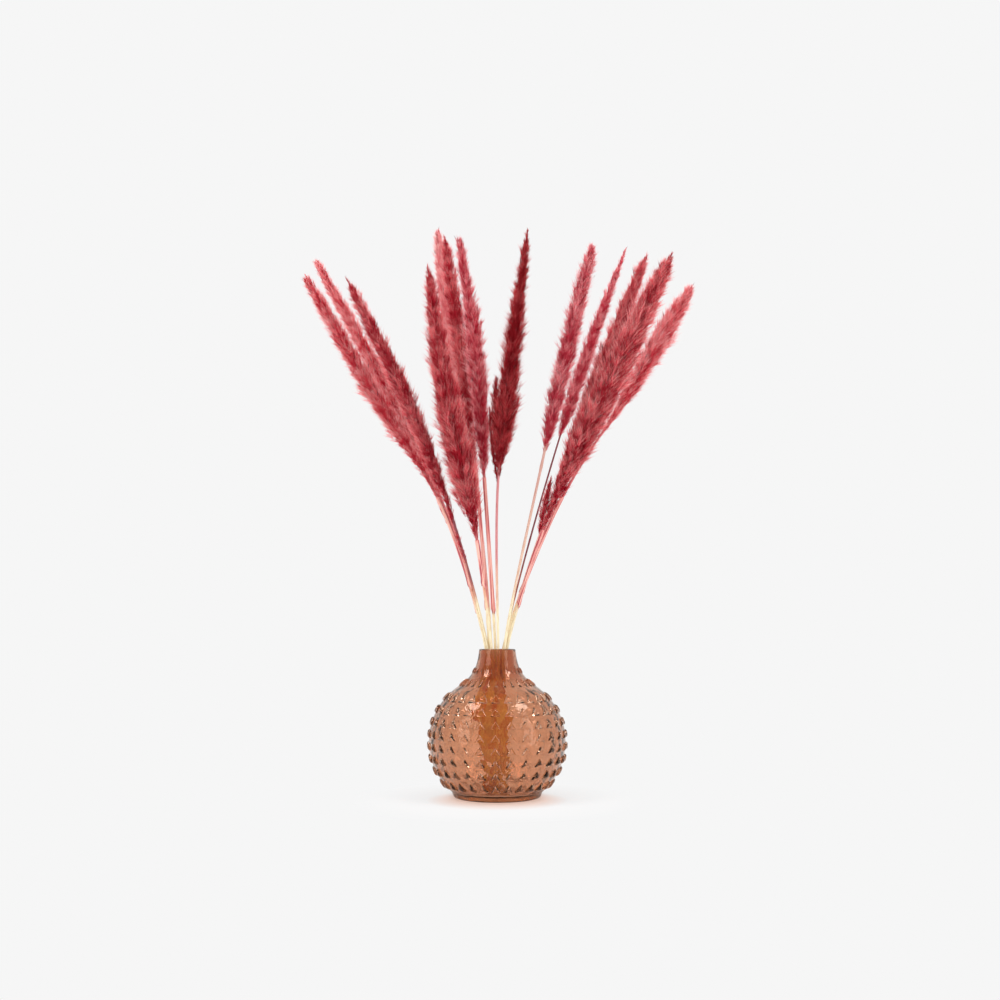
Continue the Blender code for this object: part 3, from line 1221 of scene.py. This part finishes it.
@dataclass
class TuftMaker:
    """Makes one small tuft of fine threads, a unit long, that fans out along Z.

    Args:
        kind: Which tuft it is.
        threads: How many threads it has.
        fan: How far the threads fan out, in degrees.
        width: Width of a thread at its root.
        spread: How far to the sides the roots are scattered.
        depth: How far along the tuft the roots are scattered.
        lengths: Least and greatest length of a thread.
        seed: Seed of the scatter.
    """

    kind: TuftKind
    threads: int
    fan: float
    width: float
    spread: float
    depth: float
    lengths: tuple[float, float]
    seed: int

    def build(self) -> bpy.types.Object:
        """Make the tuft, with each corner's share of its thread, its side and its shift of shade.

        Returns:
            The tuft.
        """
        dice = np.random.default_rng(self.seed)
        corners: list[Vector] = []
        for _ in range(self.threads):
            angle = math.radians(self.fan) * math.sqrt(dice.uniform(0.0, 1.0))
            turn = dice.uniform(0.0, FULL_TURN)
            away = math.sin(angle)
            lean = Vector((away * math.cos(turn), away * math.sin(turn), math.cos(angle)))
            near = Vector((dice.uniform(-1.0, 1.0) * self.spread, dice.uniform(-1.0, 1.0) * self.spread, 0.0))
            near.z = dice.uniform(0.0, self.depth)
            twist = dice.uniform(0.0, FULL_TURN)
            side = lean.cross(Vector((math.cos(twist), math.sin(twist), 0.3))).normalized() * (self.width / 2)
            corners += [near - side, near + side, near + lean * dice.uniform(*self.lengths)]
        marks = {
            "share": np.tile([0.0, 0.0, 1.0], self.threads),
            "side": np.tile([0.1, 0.9, 0.5], self.threads),
            "shift": np.repeat(dice.integers(-2, 3, self.threads), 3),
        }
        faces = [(first, first + 1, first + 2) for first in range(0, len(corners), 3)]
        return new_shape(f"tuft_{self.kind.value}", corners, faces=faces, **marks)


class PlumeForm(Enum):
    """Outlines of a plume and of a side shoot: girth, as a share of the widest, from base to tip."""

    SPINDLE = ((0.0, 0.15), (0.14, 0.45), (0.3, 0.85), (0.5, 1.0), (0.75, 0.84), (0.92, 0.62), (1.0, 0.42))
    SPIKED = (
        (0.0, 0.15), (0.13, 0.45), (0.3, 0.88), (0.5, 1.0),
        (0.75, 0.85), (0.93, 0.55), (0.97, 0.25), (1.0, 0.05),
    )
    LOW = (
        (0.0, 0.15), (0.07, 0.35), (0.12, 0.8), (0.24, 1.0),
        (0.45, 0.92), (0.7, 0.7), (0.92, 0.4), (1.0, 0.05),
    )
    BLUNT = ((0.0, 0.2), (0.08, 0.6), (0.2, 0.9), (0.45, 1.0), (0.7, 0.88), (0.93, 0.72), (1.0, 0.35))
    EVEN = ((0.0, 0.2), (0.06, 0.55), (0.18, 0.88), (0.42, 1.0), (0.7, 0.82), (0.92, 0.56), (1.0, 0.35))
    SLIM = ((0.0, 0.3), (0.1, 0.8), (0.25, 1.0), (0.45, 0.88), (0.7, 0.66), (0.9, 0.38), (1.0, 0.08))
    LATE = ((0.0, 0.04), (0.28, 0.08), (0.42, 0.5), (0.58, 0.9), (0.74, 1.0), (0.9, 0.8), (1.0, 0.3))
    SHOOT = ((0.0, 0.35), (0.15, 0.8), (0.5, 1.0), (0.8, 0.8), (1.0, 0.25))

    def girth(self, shares: np.ndarray) -> np.ndarray:
        """Return the girth at shares of the length."""
        return np.interp(shares, *zip(*self.value))


@dataclass(frozen=True)
class Sprig:
    """A short side shoot of a plume.

    Args:
        start: Where it leaves the plume's line, as a share of it; below 0 it leaves the stalk.
        length: Its length.
        lean: How far it leans away, in degrees.
        turn: Which way it leans, in degrees: 0 to the left, 180 to the right.
        girth: Its radius.
    """

    start: float
    length: float
    lean: float
    turn: float
    girth: float


@dataclass(frozen=True)
class PlumeHabit:
    """How one plume grew.

    Args:
        number: The stem's number.
        dye: Shade of the plume.
        stalk: Shade of its stalk.
        form: Its outline.
        girth: Its girth, as a share of the plain solid's.
        lobes: How uneven the outline is.
        pale: How much paler the whole plume is, in shade rows.
        bright: How much paler it gets to its tip, in shade rows.
        sprigs: Its side shoots.
        has_sheath: Whether a leaf sheath wraps its stalk.
    """

    number: int
    dye: PlumeDye = PlumeDye.CRIMSON
    stalk: StalkShade = StalkShade.ROSE
    form: PlumeForm = PlumeForm.SPINDLE
    girth: float = 1.0
    lobes: float = 0.22
    pale: float = 0.0
    bright: float = 3.0
    sprigs: tuple[Sprig, ...] = ()
    has_sheath: bool = False


@dataclass
class PlumeMaker:
    """Makes the plumes: tens of thousands of fine threads in tufts along each stem's head.

    Args:
        tuft_area: Area of the plume's half section that one tuft fills.
        case_spacing: Distance between dry seed cases along the line.
        reach: Least and greatest reach of a tuft's tip, as shares of the outline.
        case_reach: The same of a seed case.
        root_share: How far from the line a tuft may be rooted, as a share of the outline.
        root_limit: How far it may be, as a share of how far its tip is.
        tuft_lengths: Least and greatest length of a tuft over its least, as shares of the girth.
        least_length: Its least length.
        full_length: How much of its length a tuft's threads fill.
        slopes: Least and greatest slope of a tuft away from the line.
        least_full: Share of the tufts that the thinnest places keep.
        core_share: Radius of the dense core, as a share of the girth.
        core_least: Its least radius.
        core_sides: Facets round it.
        core_shade: How pale it gets to its tip, as a share of a thread's.
        tip_gap: How much of the line is left free at the tip, as a share.
        inward: How strongly the tufts crowd towards the core.
        wisps_from: How far out the tufts thin to wisps, as a share of the outline.
        lump_pitch: How fast the outline's lumps change along the plume.
        lump_scale: How fine they are.
        seed_step: How far apart the lumps and patches of two plumes are read.
        shade_rows: Least and greatest shade row of a tuft, before its place shifts it.
        rise_power: How late along the plume the tufts turn paler.
        patch_scale: How fine the deeper and paler patches are.
        patch_rows: Noise of the deepest and the palest patches, and by how many rows each shifts a tuft.
        painted_inner_shade_rows: The same by how far out a tuft reaches, up to the wisps: painted shade,
            deeper for the tufts that stay inside the plume.
        painted_rim_light_rows: The same of the wisps: painted rim light, paler for the tufts that reach the
            plume's edge.
        rings: Places on a plume's guide line.
        shoot_rings: Places on a side shoot's.
        shoot_bend: How much a side shoot bends back to the plume.
    """

    tuft_area: float = 1.05 * MM * MM
    case_spacing: float = 6.0 * MM
    reach: tuple[float, float] = (0.3, 1.25)
    case_reach: tuple[float, float] = (0.95, 1.15)
    root_share: float = 0.6
    root_limit: float = 0.7
    tuft_lengths: tuple[float, float] = (0.45, 0.85)
    least_length: float = 6.0 * MM
    full_length: float = 0.8
    slopes: tuple[float, float] = (0.05, 0.85)
    least_full: float = 0.12
    core_share: float = 0.22
    core_least: float = 0.3 * MM
    core_sides: int = 7
    core_shade: float = 0.2
    tip_gap: float = 0.02
    inward: float = 1.5
    wisps_from: float = 0.9
    lump_pitch: float = 11.0
    lump_scale: float = 0.9
    seed_step: float = 7.3
    shade_rows: tuple[float, float] = (4.0, 9.0)
    rise_power: float = 1.6
    patch_scale: float = 62.0
    patch_rows: tuple[float, ...] = (0.36, 0.64, -4.0, 4.0)
    painted_inner_shade_rows: tuple[float, ...] = (0.55, 0.9, -4.0, 1.0)
    painted_rim_light_rows: tuple[float, ...] = (0.9, 1.0, 0.0, 7.5)
    rings: int = 90
    shoot_rings: int = 24
    shoot_bend: float = 0.35

    def seed_drift(self, recipe: Recipe) -> Socket:
        """Return an offset that gives each plume lumps of its own."""
        return recipe.bench.maths("MULTIPLY", recipe.given("Seed"), self.seed_step)

    def tuft_row(self, recipe: Recipe, out: Socket, first_draw: int) -> Socket:
        """Choose each tuft's shade row: paler towards the tip and deeper in patches, with painted rim light
        far out and painted shade farther in.

        Args:
            recipe: The recipe to work in.
            out: How far out the tuft's tip is, as a share of the outline.
            first_draw: Tells this scatter's random draws from the others.

        Returns:
            The row.
        """
        bench = recipe.bench
        along = bench.maths("MAXIMUM", bench.read("along"), 0.0)
        rise = bench.maths("MULTIPLY", bench.maths("POWER", along, self.rise_power), recipe.given("Bright"))
        place = bench.vector("ADD", bench.shape("InputPosition"), bench.xyz(self.seed_drift(recipe)))
        shifts = (
            rise,
            bench.between(bench.noise(place, self.patch_scale, 1.5), *self.patch_rows),
            # Painted shade for the tufts inside the plume, and painted rim light for those at its edge.
            bench.between(out, *self.painted_inner_shade_rows),
            bench.between(out, *self.painted_rim_light_rows),
            recipe.given("Pale"),
        )
        row = recipe.chance(*self.shade_rows, first_draw + 6)
        for shift in shifts:
            row = bench.maths("ADD", row, shift)
        return bench.held(bench.maths("FLOOR", row), FIRST_TUFT_ROW, SHADE_ROWS - 1)

    def scatter(
        self,
        recipe: Recipe,
        points: bpy.types.Node,
        tufts: Sequence[Socket],
        first_draw: int,
        reach: tuple[float, float],
        spare: Socket | None = None,
    ) -> Socket:
        """Set tufts at points on a line, so that their tips reach the plume's outline.

        Args:
            recipe: The recipe to work in.
            points: Makes the points on the line.
            tufts: The tufts to choose from.
            first_draw: Tells this scatter's random draws from the others.
            reach: Least and greatest reach of a tip, as shares of the outline.
            spare: Which of the points go unused; dry seed cases, which have a row of their own, use all.

        Returns:
            The tufts, as real geometry.
        """
        bench, draw = recipe.bench, first_draw
        heading, normal = points.outputs["Tangent"], points.outputs["Normal"]
        turn = recipe.chance(0.0, FULL_TURN, draw)
        cos, sin = bench.maths("COSINE", turn), bench.maths("SINE", turn)
        across = bench.vector("CROSS_PRODUCT", heading, normal)
        radial = bench.vector("ADD", bench.scaled(normal, cos), bench.scaled(across, sin))
        along = bench.maths("MULTIPLY", bench.read("along"), self.lump_pitch)
        drift = bench.maths("ADD", along, self.seed_drift(recipe))
        lumps = bench.spread(bench.noise(bench.xyz(cos, sin, drift), self.lump_scale), -1.0, 1.0)
        girth, swell = bench.read("girth"), bench.maths("MULTIPLY_ADD", lumps, recipe.given("Lobes"), 1.0)
        outline = bench.maths("MULTIPLY", girth, swell)
        drawn = bench.maths("POWER", recipe.chance(0.0, 1.0, draw + 1), self.inward)
        out = bench.between(drawn, 0.0, 1.0, *reach)
        tip = bench.maths("MULTIPLY", outline, out)
        root = bench.maths("MULTIPLY", outline, recipe.chance(0.0, self.root_share, draw + 2))
        root = bench.maths("MINIMUM", root, bench.maths("MULTIPLY", tip, self.root_limit))
        share = recipe.chance(*self.tuft_lengths, draw + 3)
        long = bench.maths("MULTIPLY_ADD", girth, share, self.least_length)
        rise, run = bench.maths("SUBTRACT", tip, root), bench.maths("MULTIPLY", long, self.full_length)
        slope = bench.between(bench.maths("DIVIDE", rise, run), *self.slopes, *self.slopes)
        kept, row, pick = points.outputs["Points"], SEED_CASE_ROW, 0
        if spare is not None:
            row = self.tuft_row(recipe, out, draw)
            kept = bench.shape("DeleteGeometry", {0: kept, "Selection": spare})
            last = len(tufts) - 1
            outermost = bench.maths("MULTIPLY", bench.maths("GREATER_THAN", out, self.wisps_from), last)
            pick = bench.maths("FLOOR", recipe.chance(0.0, last - 0.001, draw + 4))
            pick = bench.maths("MAXIMUM", pick, outermost)
        moved = {0: bench.store(kept, "row", row), "Offset": bench.scaled(radial, root)}
        return bench.plant(
            bench.vector("ADD", bench.scaled(radial, slope), heading),
            radial,
            "X",
            Points=bench.shape("SetPosition", moved),
            Instance=bench.gather("JoinGeometry", 0, [bench.shown(tuft) for tuft in reversed(tufts)]),
            Pick_Instance=True,
            Instance_Index=pick,
            Scale=bench.xyz(long, long, long),
        )

    def core(self, recipe: Recipe, line: Socket) -> Socket:
        """Make the dense core, a tube that nothing shows through.

        Args:
            recipe: The recipe to work in.
            line: The line to follow.

        Returns:
            The core.
        """
        bench = recipe.bench
        girth = bench.maths("MULTIPLY", bench.read("girth"), recipe.given("Core share"))
        core = bench.tube(line, bench.maths("MAXIMUM", girth, self.core_least), self.core_sides, "side")
        core = bench.store(core, "row", CORE_ROW)
        return bench.store(core, "share", bench.maths("MULTIPLY", bench.read("along"), self.core_shade))

    def recipe(self) -> Recipe:
        """Write the recipe for a plume along a guide line.

        Returns:
            The recipe.
        """
        recipe = Recipe("plume")
        bench = recipe.bench
        recipe.size("Seed", "NodeSocketInt")
        for name in ("Lobes", "Pale", "Bright", "Core share"):
            recipe.size(name)
        spacings = [recipe.size(name) for name in ("Tuft spacing", "Case spacing")]
        full = bench.maths("DIVIDE", bench.read("girth"), recipe.size("Widest"))
        names = ("Tight tuft", "Loose tuft", "Wisp", "Seed case")
        *tufts, case = (recipe.size(name, "NodeSocketObject") for name in names)
        line = bench.shape("MeshToCurve", {0: recipe.guide})
        tuft_points, case_points = (
            bench.node("GeometryNodeCurveToPoints", {"Curve": line, "Length": spacing}, mode="LENGTH")
            for spacing in spacings
        )
        full = bench.maths("MAXIMUM", full, self.least_full)
        spare = bench.maths("GREATER_THAN", recipe.chance(0.0, 1.0, SPARE_DRAW), full)
        fluff = self.scatter(recipe, tuft_points, tufts, TUFT_DRAWS, self.reach, spare)
        cases = self.scatter(recipe, case_points, [case], CASE_DRAWS, self.case_reach)
        joined = bench.gather("JoinGeometry", 0, (fluff, cases, self.core(recipe, line)))
        row = bench.read("row")
        is_tuft = bench.maths("GREATER_THAN", row, FIRST_TUFT_ROW - 0.5)
        row = bench.maths("MULTIPLY_ADD", bench.read("shift"), is_tuft, row)
        row = bench.held(row, bench.maths("MULTIPLY", is_tuft, FIRST_TUFT_ROW), SHADE_ROWS - 1)
        high = bench.maths("DIVIDE", bench.maths("ADD", row, bench.read("side")), SHADE_ROWS)
        smooth = bench.shape("SetShadeSmooth", {0: joined})
        recipe.end(bench.store(smooth, COLOUR_MAP, bench.xyz(bench.read("share"), high), "FLOAT2", "CORNER"))
        return recipe

    def widest(self, habit: PlumeHabit, plume: Centreline) -> float:
        """Return a plume's greatest girth."""
        return float(plume.radii.max()) * habit.girth

    def guide(self, habit: PlumeHabit, stalk: Centreline, plume: Centreline) -> bpy.types.Object:
        """Draw the lines that a plume grows along, with its girth.

        Args:
            habit: How the plume grew.
            stalk: The stalk's line.
            plume: The plume's line.

        Returns:
            The guide.
        """
        shares = np.linspace(0.0, 1.0, self.rings)
        points = plume.sample(shares * (1.0 - self.tip_gap)).points
        main = (points, self.widest(habit, plume) * habit.form.girth(shares), shares)
        shoots = [self.side_line(sprig, stalk, plume) for sprig in habit.sprigs]
        return new_guide("plume_guide", main, *shoots)

    def side_line(
        self, sprig: Sprig, stalk: Centreline, plume: Centreline
    ) -> tuple[np.ndarray, np.ndarray, np.ndarray]:
        """Draw the line of a side shoot.

        Args:
            sprig: The side shoot.
            stalk: The stalk's line.
            plume: The plume's line.

        Returns:
            Its places, its girths and its shares of the plume's length.
        """
        reach = plume.length()
        if sprig.start >= 0.0:
            base = plume.sample(np.array([sprig.start, sprig.start + 0.02]))
        else:
            share = 1.0 + sprig.start * reach / stalk.length()
            base = stalk.sample(np.array([share, share + 0.01]))
        level, over = (side[0] for side in base.sides())
        turn, lean = math.radians(sprig.turn), math.radians(sprig.lean)
        away = level * math.cos(turn) + over * math.sin(turn)
        steps = np.linspace(0.0, 1.0, self.shoot_rings)
        out = sprig.length * math.sin(lean) * (steps - self.shoot_bend * steps**2)
        up = sprig.length * math.cos(lean) * steps
        points = base.points[0] + base.headings()[0] * up[:, None] + away * out[:, None]
        girths = PlumeForm.SHOOT.girth(steps) * sprig.girth
        return points, girths, sprig.start + steps * sprig.length / reach


@dataclass
class Bunch:
    """The whole bunch: stalks, sheaths and plumes.

    Args:
        habits: How each stem grew.
        stalks: Maker of the stalks.
        sheaths: Maker of the leaf sheaths.
        plumes: Maker of the plumes.
    """

    habits: tuple[PlumeHabit, ...]
    stalks: StalkMaker = field(default_factory=StalkMaker)
    sheaths: SheathMaker = field(default_factory=SheathMaker)
    plumes: PlumeMaker = field(default_factory=PlumeMaker)

    def build(self) -> list[bpy.types.Object]:
        """Make every stem and put it in place of its plain solids.

        Returns:
            The finished pieces.
        """
        made: list[bpy.types.Object] = []
        tufts = {maker.kind: maker.build() for maker in TUFTS}
        fluff = {finish.dye: finish.material() for finish in PLUME_FINISHES}
        straw = {finish.shade: finish.material() for finish in STALK_FINISHES}
        leaf = SheathFinish().material()
        stalk_recipe, plume_recipe = self.stalks.recipe(), self.plumes.recipe()
        for habit in self.habits:
            number = f"{habit.number:02d}"
            stalk = Centreline.of_node(f"stalk_{number}", PLAIN_STALK_SIDES)
            plume = Centreline.of_node(f"plume_{number}", PLAIN_PLUME_SIDES)
            guide = self.stalks.guide(stalk, plume)
            piece = stalk_recipe.make(f"stem_{number}", guide, Finish=straw[habit.stalk])
            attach(piece, "root")
            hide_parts(f"stalk_{number}")
            made.append(piece)
            if habit.has_sheath:
                made.append(self.sheaths.build(habit.number, stalk, leaf))
            widest = self.plumes.widest(habit, plume)
            piece = plume_recipe.make(
                f"pampas_{number}",
                self.plumes.guide(habit, stalk, plume),
                Finish=fluff[habit.dye],
                Seed=habit.number,
                Lobes=habit.lobes,
                Pale=habit.pale,
                Bright=habit.bright,
                Core_share=self.plumes.core_share,
                Tuft_spacing=self.plumes.tuft_area / widest,
                Case_spacing=self.plumes.case_spacing,
                Widest=widest,
                Tight_tuft=tufts[TuftKind.TIGHT],
                Loose_tuft=tufts[TuftKind.LOOSE],
                Wisp=tufts[TuftKind.WISP],
                Seed_case=tufts[TuftKind.SEED_CASE],
            )
            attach(piece, "root")
            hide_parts(f"plume_{number}")
            made.append(piece)
        clear_away(*tufts.values())
        return made


# ---------------------------------------------------------------- room


@dataclass(frozen=True)
class Softbox:
    """A soft lamp that faces the vase.

    Args:
        name: The lamp's name.
        place: Where it hangs.
        aim: What it faces.
        width: Its width.
        height: Its height.
        power: Its power in watts.
    """

    name: str
    place: tuple[float, float, float]
    aim: tuple[float, float, float]
    width: float
    height: float
    power: float

    def build(self) -> None:
        """Hang the lamp."""
        lamp = bpy.data.lights.new(self.name, "AREA")
        lamp.shape = "RECTANGLE"
        lamp.size, lamp.size_y, lamp.energy = self.width, self.height, self.power
        hung = new_piece(self.name, lamp)
        hung.location = self.place
        hung.rotation_euler = (Vector(self.aim) - Vector(self.place)).to_track_quat("-Z", "Y").to_euler()


@dataclass
class Room:
    """A pale floor that runs into a pale backdrop, with soft lamps and a camera.

    Args:
        backdrop: Colour of the floor and the backdrop as seen.
        painted_shadow_glow: Peach colour painted on the floor around the vase's foot, darker than the
            backdrop: a painted shadow with a painted amber glow of the glass in it.
        painted_shadow_forward: How far in front of the vase's middle that is centred.
        painted_shadow_from: How far from there it starts to fade.
        painted_shadow_to: How far from there it has gone.
        shadow_to: How far from there the floor's shadow has gone.
        shadow_gain: How much of the shadow is lifted in the middle.
        floor_light: How much of the light the floor gives back.
        ambient: Strength of the soft light from all sides.
        floor_size: Half the floor's width.
        camera_place: Where the camera stands.
        camera_tilt: How far it looks up, in degrees.
        lens: Focal length in millimetres.
        sensor: Width of the camera's sensor in millimetres.
        softboxes: The lamps.
    """

    backdrop: Tint = Tint(246, 246, 246)
    painted_shadow_glow: Tint = Tint(246, 208, 190)
    painted_shadow_forward: float = 0.02
    painted_shadow_from: float = 0.04
    painted_shadow_to: float = 0.068
    shadow_to: float = 0.14
    shadow_gain: float = 0.6
    floor_light: float = 0.9
    ambient: float = 0.68
    floor_size: float = 6.0
    camera_place: tuple[float, float, float] = (0.0027, -1.15, 0.157)
    camera_tilt: float = 6.7
    lens: float = 41.4
    sensor: float = 36.0
    softboxes: tuple[Softbox, ...] = (
        Softbox("left_softbox", (-0.68, -0.27, 1.15), (0.0, 0.0, 0.08), 0.44, 0.28, 4.4),
        Softbox("right_softbox", (0.68, -0.27, 1.15), (0.0, 0.0, 0.08), 0.44, 0.28, 4.4),
        Softbox("left_panel", (-1.15, -0.75, 0.5), (0.0, 0.0, 0.25), 0.5, 1.1, 5.0),
        Softbox("right_panel", (1.15, -0.75, 0.5), (0.0, 0.0, 0.25), 0.5, 1.1, 5.0),
    )

    def seen_directly(self, bench: Bench) -> Socket:
        """Return 1 where the eye looks at the room, straight or through clear glass, and 0 for its light."""
        rays = (bench.shade("LightPath", key=key) for key in ("Is Camera Ray", "Is Transmission Ray"))
        return bench.maths("MAXIMUM", *rays)

    def world(self) -> None:
        """Light the room evenly, and show the backdrop's colour."""
        world = bpy.data.worlds.new("room")
        bench = Bench.cleared(world)
        seen = bench.shade("Background", {"Color": self.backdrop.linear(), "Strength": 1.0})
        light = bench.shade("Background", {"Color": WHITE.linear(), "Strength": self.ambient})
        mixed = bench.shade("MixShader", {0: self.seen_directly(bench), 1: light, 2: seen})
        bench.node("ShaderNodeOutputWorld", {"Surface": mixed})
        bpy.context.scene.world = world

    def floor(self) -> None:
        """Lay the floor: near the vase it keeps part of its rendered shadow under a painted shadow and glow,
        and fades into the backdrop farther off.
        """
        half = self.floor_size
        corners = [(-half, -half, 0.0), (half, -half, 0.0), (half, half, 0.0), (-half, half, 0.0)]
        floor = new_shape("floor", corners, faces=[(0, 1, 2, 3)])
        material = bpy.data.materials.new("pale_floor")
        bench = Bench.cleared(material)
        # Painted shadow and glow: a peach ring round the foot, centred a little in front of the vase.
        place = bench.vector("ADD", bench.shade("TexCoord", key="Object"), (0.0, self.painted_shadow_forward, 0.0))
        far = bench.vector("LENGTH", place, key="Value")
        gone = bench.between(far, self.painted_shadow_from, self.painted_shadow_to)
        painted_shadow_colour = bench.ramp(gone, (0.0, self.painted_shadow_glow), (1.0, self.backdrop))
        fade = bench.between(far, self.painted_shadow_from, self.shadow_to, self.shadow_gain, 1.0)
        share = bench.maths("MULTIPLY", fade, self.seen_directly(bench))
        plain = bench.shade("BsdfDiffuse", {"Color": (self.floor_light,) * 3 + (1.0,)})
        # The floor as seen: the backdrop, with the painted shadow and glow near the foot.
        glow = bench.shade("Emission", {"Color": painted_shadow_colour, "Strength": 1.0})
        mixed = bench.shade("MixShader", {0: share, 1: plain, 2: glow})
        bench.node("ShaderNodeOutputMaterial", {"Surface": mixed})
        floor.data.materials.append(material)

    def camera(self) -> None:
        """Stand the camera in front, looking a little up."""
        data = bpy.data.cameras.new("camera")
        data.sensor_width, data.lens = self.sensor, self.lens
        camera = new_piece("camera", data)
        camera.location = self.camera_place
        camera.rotation_euler = (math.radians(90.0 + self.camera_tilt), 0.0, 0.0)
        bpy.context.scene.camera = camera

    def build(self) -> None:
        """Make the floor, the light and the camera."""
        self.world()
        self.floor()
        for softbox in self.softboxes:
            softbox.build()
        self.camera()
        bpy.context.scene.view_settings.view_transform = "Standard"


TUFTS = (
    TuftMaker(TuftKind.TIGHT, 22, 12.0, 0.026, 0.045, 0.45, (0.32, 0.58), 11),
    TuftMaker(TuftKind.LOOSE, 22, 24.0, 0.023, 0.065, 0.45, (0.3, 0.55), 12),
    TuftMaker(TuftKind.WISP, 20, 26.0, 0.021, 0.07, 0.45, (0.25, 0.55), 14),
    TuftMaker(TuftKind.SEED_CASE, 4, 6.0, 0.05, 0.02, 0.5, (0.3, 0.5), 13),
)

PLUME_FINISHES = tuple(
    PlumeFinish(dye, *(Tint(*colour) for colour in colours))
    for dye, *colours in (
        (PlumeDye.CRIMSON, (168, 14, 36), (228, 50, 70), (255, 116, 124), (255, 212, 206)),
        (PlumeDye.DEEP, (134, 6, 20), (176, 24, 36), (212, 62, 70), (238, 126, 124)),
        (PlumeDye.CORAL, (208, 32, 56), (255, 92, 104), (255, 164, 166), (255, 232, 228)),
        (PlumeDye.MAUVE, (190, 34, 58), (250, 88, 106), (255, 156, 164), (255, 228, 224)),
        (PlumeDye.PALE, (228, 96, 108), (250, 150, 154), (255, 190, 188), (255, 226, 220)),
    )
)

STALK_FINISHES = (
    StalkFinish(StalkShade.ROSE, Tint(242, 176, 150), Tint(208, 106, 110), 0.172, 0.25),
    StalkFinish(StalkShade.DARK, Tint(206, 140, 122), Tint(142, 72, 80), 0.182, 0.23),
    StalkFinish(StalkShade.MAUVE, Tint(240, 200, 172), Tint(222, 146, 150), 0.175, 0.24),
    StalkFinish(StalkShade.STRAW, Tint(240, 208, 184), Tint(222, 176, 164), 0.17, 0.3),
)

HABITS = (
    PlumeHabit(1, PlumeDye.CORAL, girth=1.35, pale=0.5, bright=3.5, has_sheath=True,
               sprigs=(Sprig(-0.13, 34.0 * MM, 5.0, 0.0, 2.6 * MM),)),
    PlumeHabit(2, PlumeDye.CORAL, girth=1.15, pale=1.0, bright=4.0, has_sheath=True,
               sprigs=(Sprig(-0.16, 46.0 * MM, 3.0, 180.0, 2.4 * MM),)),
    PlumeHabit(3, PlumeDye.CRIMSON, StalkShade.DARK, PlumeForm.SPIKED, girth=1.22, pale=0.5,
               sprigs=(Sprig(-0.15, 42.0 * MM, 2.0, 0.0, 2.8 * MM),)),
    PlumeHabit(4, PlumeDye.CRIMSON, form=PlumeForm.LOW, girth=1.15, lobes=0.28, bright=2.0, has_sheath=True),
    PlumeHabit(5, PlumeDye.PALE, form=PlumeForm.BLUNT, girth=1.3, pale=1.0),
    PlumeHabit(6, PlumeDye.CRIMSON, form=PlumeForm.SPIKED, girth=1.15, pale=-1.0, has_sheath=True),
    PlumeHabit(7, PlumeDye.MAUVE, form=PlumeForm.EVEN, girth=1.15, pale=-1.0, has_sheath=True),
    PlumeHabit(8, PlumeDye.DEEP, StalkShade.MAUVE, PlumeForm.LOW,
               girth=1.08, lobes=0.25, pale=0.5, bright=5.0,
               sprigs=(Sprig(0.02, 92.0 * MM, 9.0, 0.0, 7.5 * MM),
                       Sprig(-0.02, 72.0 * MM, 14.0, 0.0, 3.0 * MM),
                       Sprig(0.16, 64.0 * MM, 7.5, 0.0, 5.5 * MM),
                       Sprig(0.03, 66.0 * MM, 9.0, 180.0, 6.0 * MM))),
    PlumeHabit(9, PlumeDye.MAUVE, StalkShade.STRAW, PlumeForm.BLUNT, girth=1.12),
    PlumeHabit(10, PlumeDye.MAUVE, StalkShade.DARK, PlumeForm.SLIM, girth=1.55, lobes=0.1),
    PlumeHabit(11, PlumeDye.CRIMSON, form=PlumeForm.SPIKED, girth=1.3, pale=1.0, has_sheath=True),
    PlumeHabit(12, PlumeDye.CRIMSON, form=PlumeForm.SPIKED, girth=1.15, pale=0.5, has_sheath=True,
               sprigs=(Sprig(-0.03, 60.0 * MM, 13.0, 0.0, 5.2 * MM),)),
    PlumeHabit(13, PlumeDye.CORAL, form=PlumeForm.LATE, girth=1.25, bright=4.5, has_sheath=True),
)


def main() -> None:
    """Build the vase, the bunch and the room, and report each piece."""
    logging.basicConfig(level=logging.INFO, format="%(name)s: %(message)s")
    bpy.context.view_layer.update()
    pieces = [StuddedVase().build()]
    pieces += Bunch(HABITS).build()
    for piece in pieces:
        LOG.info("%s: %d triangles", piece.name, count_triangles(piece))
    LOG.info("%d pieces, %d triangles in all", len(pieces), sum(count_triangles(piece) for piece in pieces))
    Room().build()
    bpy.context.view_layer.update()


if __name__ == "__main__":
    main()
